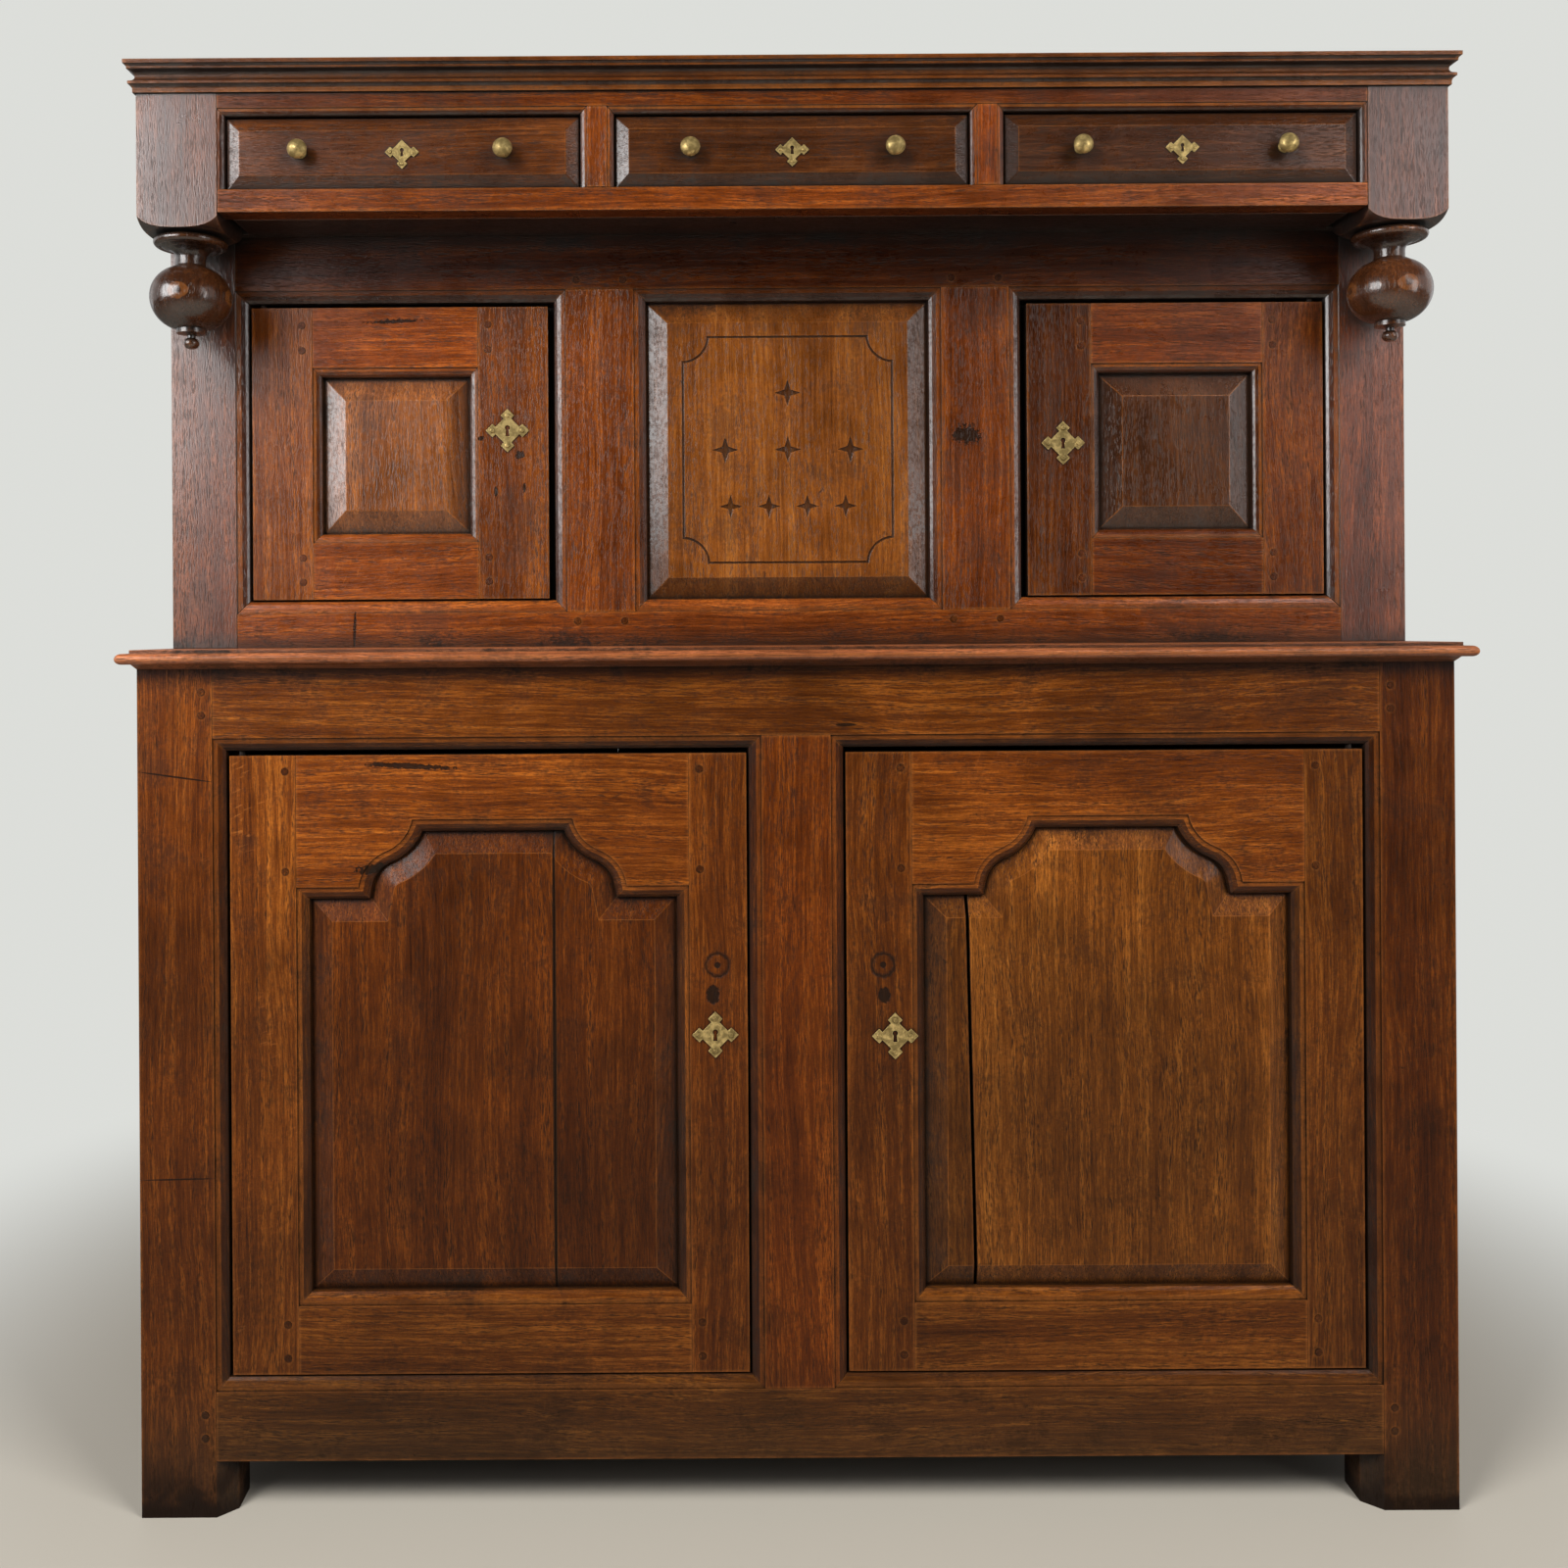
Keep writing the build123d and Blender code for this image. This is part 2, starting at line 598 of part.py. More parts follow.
with BuildPart() as base_back_rails:
    for low, high in ((FOOT_HEIGHT, FLOOR_UNDERSIDE), (BASE_HEIGHT - BACK_RAIL_WIDTH, BASE_HEIGHT)):
        block((-BACK_INNER, BACK_INNER), back_rail_ends, (low, high))
write(base_back_rails, "base_back_rails")


def upright_boards(half, count, low, high):
    """Upright boards side by side that close the back between two posts."""
    width = 2 * half / count
    depths = (BACK_BOARD_FRONT, BACK_BOARD_FRONT + BACK_BOARD_THICKNESS)
    for index in range(count):
        left = index * width - half
        block((left + BOARD_GAP / 2, left + width - BOARD_GAP / 2), depths, (low, high))


with BuildPart() as base_back_boards:
    upright_boards(BACK_INNER, BACK_BOARD_COUNT, FOOT_HEIGHT, BASE_HEIGHT - SHOULDER_GAP)
write(base_back_boards, "base_back_boards")

FLOOR_FRONT = FRONT + FRAME_THICKNESS + SHOULDER_GAP
FLOOR_BACK = BACK_BOARD_FRONT - SHOULDER_GAP
FLOOR_HALF = BASE_HALF - SIDE_THICKNESS - SHOULDER_GAP

with BuildPart() as floor_bearers:
    bearer_levels = (FLOOR_UNDERSIDE - BEARER_SIZE, FLOOR_UNDERSIDE)
    bearer_depths = (FLOOR_FRONT, FLOOR_FRONT + BEARER_SIZE)
    block((BEARER_SIZE - LEG_INNER, LEG_INNER - BEARER_SIZE), bearer_depths, bearer_levels)
    for side in (-1, 1):
        ends = (side * (FLOOR_HALF - BEARER_SIZE), side * FLOOR_HALF)
        block(ends, (SIDE_FRONT + FRAME_MOULDING.width, SIDE_BACK - FRAME_MOULDING.width), bearer_levels)
write(floor_bearers, "floor_bearers")

with BuildPart() as floor_boards:
    width = (FLOOR_BACK - FLOOR_FRONT) / FLOOR_BOARD_COUNT
    for index in range(FLOOR_BOARD_COUNT):
        near = FLOOR_FRONT + index * width
        levels = (FLOOR_UNDERSIDE, FLOOR_UNDERSIDE + FLOOR_THICKNESS)
        block((-FLOOR_HALF, FLOOR_HALF), (near, near + width - BOARD_GAP), levels)
    for side in (-1, 1):
        whole = (0, BASE_HEIGHT)
        front_notch = (side * (LEG_INNER - FRAME_MOULDING.width - SHOULDER_GAP), side * BASE_WIDTH)
        block(front_notch, (FRONT, SIDE_FRONT + SHOULDER_GAP), whole, Mode.SUBTRACT)
        back_notch = (side * BACK_INNER, side * BASE_WIDTH)
        block(back_notch, (SIDE_BACK - SHOULDER_GAP, BACK), whole, Mode.SUBTRACT)
write(floor_boards, "floor_boards")


# ---- Middle board ----
def board_outline(level, side, front):
    """The outline of the middle board at one level, by how far it stands out."""
    with BuildSketch(Plane.XY.offset(level)) as outline:
        near = FRONT - front
        with Locations((0, (near + BACK) / 2)):
            Rectangle(BASE_WIDTH + 2 * side, BACK - near)
    return outline.sketch


with BuildPart() as middle_board:
    nose_top = BOARD_TOP - BOARD_FILLET_HEIGHT
    nose_bottom = nose_top - BOARD_NOSE_HEIGHT
    setback = BOARD_FILLET_SETBACK
    fillet_reach = (BOARD_SIDE_OVERHANG - setback, BOARD_FRONT_OVERHANG - setback)
    nose_reach = (BOARD_SIDE_OVERHANG, BOARD_FRONT_OVERHANG)
    extrude(board_outline(nose_bottom, *nose_reach), amount=BOARD_NOSE_HEIGHT)
    outer = middle_board.edges().filter_by(Axis.Z, reverse=True)
    nose = outer.filter_by(lambda edge: edge.center().Y < BACK - 1)
    fillet(nose, radius=BOARD_NOSE_HEIGHT / 2 - 0.1)
    extrude(board_outline(nose_top - 1, *fillet_reach), amount=BOARD_FILLET_HEIGHT + 1)
    under = (board_outline(BASE_HEIGHT, 0, 0), board_outline(nose_bottom + 1, *fillet_reach))
    loft([outline.faces()[0] for outline in under], ruled=True)
write(middle_board, "middle_board")

# ---- Upper stage: front frame ----
upper_face = facing(RECESS)
UPPER_REVEAL_BOTTOM = BOARD_TOP + UPPER_BOTTOM_RAIL_WIDTH
UPPER_REVEAL_TOP = UPPER_REVEAL_BOTTOM + UPPER_OPENING_HEIGHT
UPPER_RAIL_TOP = UPPER_REVEAL_TOP + UPPER_TOP_RAIL_WIDTH
UPPER_INNER = UPPER_HALF - UPPER_STILE_WIDTH
CENTRE_HALF = CENTRE_OPENING_WIDTH / 2
DOOR_OPENING_INNER = CENTRE_HALF + UPPER_MUNTIN_WIDTH

upper_openings = [
    Opening(-UPPER_INNER, -DOOR_OPENING_INNER, UPPER_REVEAL_BOTTOM, UPPER_REVEAL_TOP),
    Opening(-CENTRE_HALF, CENTRE_HALF, UPPER_REVEAL_BOTTOM, UPPER_REVEAL_TOP),
    Opening(DOOR_OPENING_INNER, UPPER_INNER, UPPER_REVEAL_BOTTOM, UPPER_REVEAL_TOP),
]
upper_rail_levels = [(BOARD_TOP, UPPER_REVEAL_BOTTOM), (UPPER_REVEAL_TOP, UPPER_RAIL_TOP)]
UPPER_STILE_TOP = FRIEZE_BOTTOM

upper_side = side_plane(UPPER_HALF)
UPPER_SIDE_FRONT = RECESS + UPPER_STILE_DEPTH
UPPER_SIDE_BACK = BACK - UPPER_POST_SIZE
upper_side_levels = [
    (BOARD_TOP, BOARD_TOP + UPPER_SIDE_RAIL_WIDTH),
    (UPPER_STILE_TOP - UPPER_SIDE_RAIL_WIDTH, UPPER_STILE_TOP),
]
upper_side_opening = Opening(
    UPPER_SIDE_FRONT,
    UPPER_SIDE_BACK,
    upper_side_levels[0][1],
    upper_side_levels[1][0],
)


def upper_joint_levels(low, high):
    """The levels between which an upper front rail's tenon stands."""
    return low + TENON_SHOULDER / 2, min(high, UPPER_STILE_TOP) - TENON_SHOULDER / 2


with BuildPart() as upper_stiles:
    block((UPPER_INNER, UPPER_HALF), (RECESS, UPPER_SIDE_FRONT), (BOARD_TOP, UPPER_STILE_TOP))
    moulded_strip(upper_face, upper_openings[2], "right", FRAME_MOULDING, UPPER_STILE_DEPTH)
    moulded_strip(upper_side, upper_side_opening, "left", FRAME_MOULDING, SIDE_THICKNESS)
    cut_moulded_opening(upper_side, upper_side_opening, FRAME_MOULDING, SIDE_THICKNESS)
    cut_groove(upper_side, upper_side_opening, FRAME_MOULDING)
    cut_moulded_opening(upper_face, upper_openings[2], FRAME_MOULDING, UPPER_STILE_DEPTH)
    for low, high in upper_rail_levels:
        sides = upper_joint_levels(low, high)
        tenon(upper_face, (UPPER_INNER, UPPER_INNER + TENON_LENGTH), sides, mortise=True)
    side_tenons(upper_side, UPPER_SIDE_FRONT, UPPER_SIDE_BACK, upper_side_levels, mortise=True)
    mirror(about=Plane.YZ)
write(upper_stiles, "upper_stiles")

upper_pin_x = UPPER_INNER - FRAME_MOULDING.width - DOOR_HINGE_GAP - PIN_EDGE_DISTANCE
upper_pin_y = RECESS + DOOR_SETBACK + PIN_FACE_DISTANCE
upper_pins = [(-upper_pin_x, upper_pin_y), (upper_pin_x, upper_pin_y)]
UPPER_MUNTIN_CENTRE = CENTRE_HALF + UPPER_MUNTIN_WIDTH / 2
UPPER_MUNTIN_TENON_HALF = UPPER_MUNTIN_WIDTH / 2 - TENON_SHOULDER
UPPER_PEG_SPREAD = 28.0
UPPER_MUNTIN_TENON_LENGTH = 30.0
UPPER_PEG_RISE = 11.0
upper_peg_places = [
    (side * (UPPER_MUNTIN_CENTRE + step), level)
    for side in (-1, 1)
    for step in (-UPPER_PEG_SPREAD, UPPER_PEG_SPREAD)
    for level in (UPPER_REVEAL_BOTTOM - UPPER_PEG_RISE, UPPER_REVEAL_TOP + UPPER_PEG_RISE)
]


def muntin_tenons(mortise):
    """The tenons at both ends of the two upper muntins, or their mortises."""
    for side in (-1, 1):
        centre = side * UPPER_MUNTIN_CENTRE
        ends = (centre - UPPER_MUNTIN_TENON_HALF, centre + UPPER_MUNTIN_TENON_HALF)
        for level, away in ((UPPER_REVEAL_BOTTOM, -1), (UPPER_REVEAL_TOP, 1)):
            root = level - away * SHOULDER_GAP
            tenon(upper_face, ends, (root, level + away * UPPER_MUNTIN_TENON_LENGTH), mortise)


with BuildPart() as upper_rails:
    for (low, high), side in zip(upper_rail_levels, ("bottom", "top")):
        reach = UPPER_INNER - SHOULDER_GAP
        slab(upper_face, -reach, reach, low, high, 0, FRAME_THICKNESS)
        for opening in upper_openings:
            moulded_strip(upper_face, opening, side, FRAME_MOULDING, FRAME_THICKNESS, SHOULDER_GAP)
        sides = upper_joint_levels(low, high)
        tenon(upper_face, (reach, UPPER_INNER + TENON_LENGTH), sides)
        tenon(upper_face, (-reach, -UPPER_INNER - TENON_LENGTH), sides)
    for opening in upper_openings:
        cut_moulded_opening(upper_face, opening, FRAME_MOULDING, FRAME_THICKNESS)
    cut_groove(upper_face, upper_openings[1], FRAME_MOULDING)
    muntin_tenons(mortise=True)
    for place in upper_peg_places:
        peg(upper_face, place, PEG_DEPTH, hole=True)
    hinge_bores(upper_pins, UPPER_REVEAL_BOTTOM + FRAME_MOULDING.width, -BORE_DEPTH)
    hinge_bores(upper_pins, UPPER_REVEAL_TOP - FRAME_MOULDING.width, BORE_DEPTH)
write(upper_rails, "upper_rails")

with BuildPart() as upper_muntins:
    low, high = UPPER_REVEAL_BOTTOM + SHOULDER_GAP, UPPER_REVEAL_TOP - SHOULDER_GAP
    slab(upper_face, CENTRE_HALF, DOOR_OPENING_INNER, low, high, 0, FRAME_THICKNESS)
    moulded_strip(upper_face, upper_openings[1], "right", FRAME_MOULDING, FRAME_THICKNESS)
    moulded_strip(upper_face, upper_openings[2], "left", FRAME_MOULDING, FRAME_THICKNESS)
    for opening in upper_openings[1:]:
        cut_moulded_opening(upper_face, opening, FRAME_MOULDING, FRAME_THICKNESS)
    cut_groove(upper_face, upper_openings[1], FRAME_MOULDING)
    reveal = (low + FRAME_MOULDING.width, high - FRAME_MOULDING.width)
    lip = DOOR_OPENING_INNER + FRAME_MOULDING.width + STOP_LIP
    slab(upper_face, DOOR_OPENING_INNER, lip, *reveal, STOP_NEAR, STOP_NEAR + STOP_THICKNESS)
    mirror(about=Plane.YZ)
    muntin_tenons(mortise=False)
    for place in upper_peg_places:
        peg(upper_face, place, PEG_DEPTH, hole=True)
write(upper_muntins, "upper_muntins")

# ---- Centre panel, with its incised cartouche ----
CENTRE_BEVEL = 25.5
CARTOUCHE_WIDTH = 253.0
CARTOUCHE_HEIGHT = 273.0
CARTOUCHE_CORNER = 30.0
CARTOUCHE_LINE = 2.4
CARVING_DEPTH = 1.2
STAR_REACH = 15.0
ROSETTE_RADIUS = 15.0
ROSETTE_SPREAD = 75.0
ROSETTE_RISE = 68.0
LOZENGE_SIZE = 13.0
LOZENGE_PITCH = 46.0
CARVING_CENTRE = (UPPER_REVEAL_BOTTOM + UPPER_REVEAL_TOP) / 2


def cartouche():
    """A rectangle whose corners are hollowed by quarter circles, round the carving's centre."""
    with Locations((0, CARVING_CENTRE)):
        Rectangle(CARTOUCHE_WIDTH, CARTOUCHE_HEIGHT)
        with GridLocations(CARTOUCHE_WIDTH, CARTOUCHE_HEIGHT, 2, 2):
            Circle(CARTOUCHE_CORNER, mode=Mode.SUBTRACT)


def petals(reach, waist):
    """A four-pointed star round the present location."""
    points = []
    for quarter in range(4):
        turn = quarter * pi / 2
        points.append((reach * cos(turn), reach * sin(turn)))
        points.append((waist * cos(turn + pi / 4), waist * sin(turn + pi / 4)))
    Polygon(*points, align=None)


with BuildPart() as centre_panel:
    fielded_panel(upper_face, upper_openings[1], FRAME_MOULDING, CENTRE_BEVEL)
    carving_plane = upper_face.offset(-FIELD_DEPTH)
    with BuildSketch(carving_plane) as frame_line:
        cartouche()
        offset(amount=-CARTOUCHE_LINE, kind=Kind.INTERSECTION, mode=Mode.SUBTRACT)
    extrude(frame_line.sketch, amount=-CARVING_DEPTH, mode=Mode.SUBTRACT)
    marks = [(0, 0, STAR_REACH), (0, ROSETTE_RISE, ROSETTE_RADIUS)]
    marks += [(side * ROSETTE_SPREAD, 0, ROSETTE_RADIUS) for side in (-1, 1)]
    marks += [(step * LOZENGE_PITCH, -ROSETTE_RISE, LOZENGE_SIZE) for step in (-1.5, -0.5, 0.5, 1.5)]
    for x, rise, reach in marks:
        centre = carving_plane.from_local_coords((x, CARVING_CENTRE + rise, 0))
        with BuildSketch(Plane(centre, carving_plane.x_dir, carving_plane.z_dir)) as mark:
            petals(reach, reach / 3)
        extrude(mark.sketch, amount=-CARVING_DEPTH, mode=Mode.SUBTRACT)
write(centre_panel, "centre_panel")

# ---- Upper stage: sides and back ----
with BuildPart() as upper_side_rails:
    depths = (UPPER_SIDE_FRONT, UPPER_SIDE_BACK)
    side_rails(upper_side, *depths, upper_side_levels, [upper_side_opening], SIDE_THICKNESS)
    mirror(about=Plane.YZ)
write(upper_side_rails, "upper_side_rails")

with BuildPart() as upper_side_panels:
    fielded_panel(upper_side, upper_side_opening, FRAME_MOULDING, SIDE_BEVEL)
    mirror(about=Plane.YZ)
write(upper_side_panels, "upper_side_panels")

with BuildPart() as upper_rear_posts:
    block((UPPER_HALF - UPPER_POST_SIZE, UPPER_HALF), (UPPER_SIDE_BACK, BACK), (BOARD_TOP, CANOPY_TOP))
    moulded_strip(upper_side, upper_side_opening, "right", FRAME_MOULDING, SIDE_THICKNESS)
    cut_moulded_opening(upper_side, upper_side_opening, FRAME_MOULDING, SIDE_THICKNESS)
    cut_groove(upper_side, upper_side_opening, FRAME_MOULDING)
    side_tenons(upper_side, UPPER_SIDE_FRONT, UPPER_SIDE_BACK, upper_side_levels, mortise=True)
    mirror(about=Plane.YZ)
write(upper_rear_posts, "upper_rear_posts")

UPPER_BACK_INNER = UPPER_HALF - UPPER_POST_SIZE - SHOULDER_GAP
UPPER_BACK_RAIL_WIDTH = 45.0

with BuildPart() as upper_back_rails:
    for low, high in (
        (BOARD_TOP, BOARD_TOP + UPPER_BACK_RAIL_WIDTH),
        (FRIEZE_BOTTOM - UPPER_BACK_RAIL_WIDTH, FRIEZE_BOTTOM),
        (CANOPY_TOP - UPPER_BACK_RAIL_WIDTH, CANOPY_TOP),
    ):
        block((-UPPER_BACK_INNER, UPPER_BACK_INNER), back_rail_ends, (low, high))
write(upper_back_rails, "upper_back_rails")

with BuildPart() as upper_back_boards:
    upright_boards(UPPER_BACK_INNER, BACK_BOARD_COUNT, BOARD_TOP + SHOULDER_GAP, CANOPY_TOP - SHOULDER_GAP)
write(upper_back_boards, "upper_back_boards")

# ---- Canopy: posts, drops and frieze ----
POST_BOTTOM = CANOPY_TOP - POST_LENGTH
POST_INNER = UPPER_HALF - POST_SIZE
FRIEZE_REACH = POST_INNER - SHOULDER_GAP
FRIEZE_RAIL_TOP = FRIEZE_BOTTOM + FRIEZE_BOTTOM_RAIL_WIDTH
FRIEZE_OPENING_TOP = CANOPY_TOP - FRIEZE_TOP_RAIL_WIDTH
DRAWER_PITCH = (2 * POST_INNER + FRIEZE_MUNTIN_WIDTH) / 3
OPENING_WIDTH = DRAWER_PITCH - FRIEZE_MUNTIN_WIDTH
FRIEZE_TENON_LENGTH = 34.0
FRIEZE_TENON_NEAR = 12.0
FRIEZE_TENON_SHOULDER = 4.0
frieze_openings = [
    Opening(
        (index - 1) * DRAWER_PITCH - OPENING_WIDTH / 2,
        (index - 1) * DRAWER_PITCH + OPENING_WIDTH / 2,
        FRIEZE_RAIL_TOP - FRIEZE_MOULDING.width,
        FRIEZE_OPENING_TOP,
    )
    for index in range(3)
]
frieze_levels = [(FRIEZE_BOTTOM, FRIEZE_RAIL_TOP), (FRIEZE_OPENING_TOP, CANOPY_TOP)]


def frieze_tenon(shoulder, length, level, mortise):
    """A tenon of a frieze rail in its post, or its mortise."""
    low, high = level
    sides = (low + FRIEZE_TENON_SHOULDER, high - FRIEZE_TENON_SHOULDER)
    tenon(base_face, (shoulder, shoulder + length), sides, mortise, near=FRIEZE_TENON_NEAR)


def post_cheek():
    """The moulded strip beside a drawer, carried down to the bottom rail's top."""
    moulded_strip(base_face, frieze_openings[2], "right", FRIEZE_MOULDING, FRIEZE_THICKNESS)
    below = (FRIEZE_BOTTOM, FRIEZE_RAIL_TOP + SHOULDER_GAP)
    block((POST_INNER - POST_SIZE, POST_INNER), (FRONT, FRONT + FRIEZE_THICKNESS), below, Mode.SUBTRACT)


with BuildPart() as canopy_posts:
    block((POST_INNER, UPPER_HALF), (FRONT, FRONT + POST_SIZE), (POST_BOTTOM, CANOPY_TOP))
    post_cheek()
    with BuildSketch(Plane.XZ.offset(-FRONT - POST_SIZE / 2)) as half_profile:
        with BuildLine():
            reach = POST_SIZE + FRIEZE_MOULDING.width
            shoulder = POST_BOTTOM + POST_SHOULDER
            Polyline((POST_CENTRE, POST_BOTTOM), (POST_CENTRE + POST_NECK_RADIUS, POST_BOTTOM))
            SagittaArc(
                (POST_CENTRE + POST_NECK_RADIUS, POST_BOTTOM),
                (POST_CENTRE + POST_TURNED_RADIUS, shoulder),
                -POST_SHOULDER / 4,
            )
            Polyline(
                (POST_CENTRE + POST_TURNED_RADIUS, shoulder),
                (POST_CENTRE + reach, shoulder),
                (POST_CENTRE + reach, CANOPY_TOP),
                (POST_CENTRE, CANOPY_TOP),
                (POST_CENTRE, POST_BOTTOM),
            )
        make_face()
    post_axis = Axis((POST_CENTRE, FRONT + POST_SIZE / 2, 0), (0, 0, 1))
    revolve(half_profile.sketch, axis=post_axis, mode=Mode.INTERSECT)
    cut_moulded_opening(base_face, frieze_openings[2], FRIEZE_MOULDING, FRIEZE_THICKNESS)
    for level in frieze_levels:
        frieze_tenon(POST_INNER, FRIEZE_TENON_LENGTH, level, mortise=True)
    with BuildSketch(Plane.XY.offset(POST_BOTTOM)) as socket:
        with Locations((POST_CENTRE, FRONT + POST_SIZE / 2)):
            Circle(PENDANT_DOWEL_RADIUS + PEG_CLEARANCE)
    extrude(socket.sketch, amount=PENDANT_DOWEL_LENGTH + 1, mode=Mode.SUBTRACT)
    mirror(about=Plane.YZ)
write(canopy_posts, "canopy_posts")


def pendant_profile():
    """Half of a drop's section: collar, cove, neck, ball, cup and button, from the top down."""
    axis, top = POST_CENTRE, POST_BOTTOM
    dowel_top = top + PENDANT_DOWEL_LENGTH
    dowel = axis + PENDANT_DOWEL_RADIUS
    seat = axis + PENDANT_COLLAR_RADIUS - COLLAR_SEAT_SETBACK
    bead = axis + PENDANT_COLLAR_RADIUS - COLLAR_BEAD_SETBACK
    cove = axis + PENDANT_COLLAR_RADIUS - COVE_SETBACK
    neck = axis + PENDANT_NECK_RADIUS
    cup = neck + CUP_WIDTH
    ball = axis + PENDANT_BALL_RADIUS
    stem = axis + BUTTON_STEM_RADIUS
    button = axis + PENDANT_BUTTON_RADIUS
    bottom = top - PENDANT_LENGTH
    Polyline((axis, dowel_top), (dowel, dowel_top), (dowel, top), (seat, top), (bead, top - BEAD_TOP))
    SagittaArc((bead, top - BEAD_TOP), (bead, top - BEAD_FOOT), COLLAR_BEAD_SAGITTA)
    Line((bead, top - BEAD_FOOT), (cove, top - COVE_TOP))
    SagittaArc((cove, top - COVE_TOP), (neck, top - COVE_FOOT), -COVE_SAGITTA)
    Polyline((neck, top - COVE_FOOT), (neck, top - NECK_FOOT), (cup, top - BALL_TOP))
    ThreePointArc((cup, top - BALL_TOP), (ball, top - BALL_MIDDLE), (neck, top - BALL_FOOT))
    Polyline(
        (neck, top - BALL_FOOT),
        (neck, top - CUP_FOOT),
        (stem, top - STEM_TOP),
        (stem, top - BUTTON_TOP),
    )
    ThreePointArc((stem, top - BUTTON_TOP), (button, top - BUTTON_MIDDLE), (stem, bottom))
    Polyline((stem, bottom), (axis, bottom), (axis, dowel_top))


with BuildPart() as pendants:
    with BuildSketch(Plane.XZ.offset(-FRONT - POST_SIZE / 2)) as half_drop:
        with BuildLine() as drop_line:
            pendant_profile()
        make_face()
    revolve(half_drop.sketch, axis=post_axis)
    mirror(about=Plane.YZ)
write(pendants, "pendants")

with BuildPart() as frieze_bottom_rail:
    low, high = frieze_levels[0]
    slab(base_face, -FRIEZE_REACH, FRIEZE_REACH, low, high, 0, FRIEZE_THICKNESS)
    frieze_tenon(FRIEZE_REACH, FRIEZE_TENON_LENGTH, frieze_levels[0], mortise=False)
    frieze_tenon(-FRIEZE_REACH, -FRIEZE_TENON_LENGTH, frieze_levels[0], mortise=False)
write(frieze_bottom_rail, "frieze_bottom_rail")

with BuildPart() as frieze_top_rail:
    low, high = frieze_levels[1]
    slab(base_face, -FRIEZE_REACH, FRIEZE_REACH, low, high, 0, FRIEZE_THICKNESS)
    for opening in frieze_openings:
        moulded_strip(base_face, opening, "top", FRIEZE_MOULDING, FRIEZE_THICKNESS, SHOULDER_GAP)
    for opening in frieze_openings:
        cut_moulded_opening(base_face, opening, FRIEZE_MOULDING, FRIEZE_THICKNESS)
    frieze_tenon(FRIEZE_REACH, FRIEZE_TENON_LENGTH, frieze_levels[1], mortise=False)
    frieze_tenon(-FRIEZE_REACH, -FRIEZE_TENON_LENGTH, frieze_levels[1], mortise=False)
write(frieze_top_rail, "frieze_top_rail")

with BuildPart() as frieze_muntins:
    half = FRIEZE_MUNTIN_WIDTH / 2 + FRIEZE_MOULDING.width
    low, high = FRIEZE_RAIL_TOP + SHOULDER_GAP, FRIEZE_OPENING_TOP - SHOULDER_GAP
    centre = DRAWER_PITCH / 2
    for side in (-1, 1):
        slab(base_face, side * centre - half, side * centre + half, low, high, 0, FRIEZE_THICKNESS)
    for opening in frieze_openings:
        cut_moulded_opening(base_face, opening, FRIEZE_MOULDING, FRIEZE_THICKNESS)
    for opening in frieze_openings:
        inner_top = opening.top - FRIEZE_MOULDING.width - SHOULDER_GAP
        with BuildSketch(base_face.offset(1)) as mitre:
            with BuildLine():
                Polyline(
                    (opening.left - SHOULDER_GAP, opening.top + SHOULDER_GAP),
                    (opening.right + SHOULDER_GAP, opening.top + SHOULDER_GAP),
                    (opening.right - FRIEZE_MOULDING.width, inner_top),
                    (opening.left + FRIEZE_MOULDING.width, inner_top),
                    close=True,
                )
            make_face()
        extrude(mitre.sketch, amount=-FRIEZE_THICKNESS - 2, mode=Mode.SUBTRACT)
write(frieze_muntins, "frieze_muntins")

# ---- Canopy: sides, soffit, runners, top and cornice ----
with BuildPart() as canopy_side_boards:
    ends = (FRONT + POST_SIZE + SHOULDER_GAP, UPPER_SIDE_BACK - SHOULDER_GAP)
    block((UPPER_HALF - SIDE_THICKNESS, UPPER_HALF), ends, (FRIEZE_BOTTOM, CANOPY_TOP))
    mirror(about=Plane.YZ)
write(canopy_side_boards, "canopy_side_boards")

SOFFIT_FRONT = FRONT + FRIEZE_THICKNESS + SHOULDER_GAP
CANOPY_INNER = UPPER_HALF - SIDE_THICKNESS - SHOULDER_GAP

with BuildPart() as soffit_boards:
    levels = (FRIEZE_BOTTOM, FRIEZE_BOTTOM + SOFFIT_THICKNESS)
    block((-CANOPY_INNER, CANOPY_INNER), (SOFFIT_FRONT, RECESS - SHOULDER_GAP), levels)
    for side in (-1, 1):
        notch = (side * (POST_INNER - FRIEZE_MOULDING.width - SHOULDER_GAP), side * UPPER_HALF)
        notch_depths = (FRONT, FRONT + POST_SIZE + SHOULDER_GAP)
        block(notch, notch_depths, (FRIEZE_BOTTOM - 1, CANOPY_TOP), Mode.SUBTRACT)
write(soffit_boards, "soffit_boards")

RUNNER_BOTTOM = max(FRIEZE_BOTTOM + SOFFIT_THICKNESS, UPPER_RAIL_TOP)
drawer_edges = [
    (opening.left + FRIEZE_MOULDING.width, opening.right - FRIEZE_MOULDING.width)
    for opening in frieze_openings
]

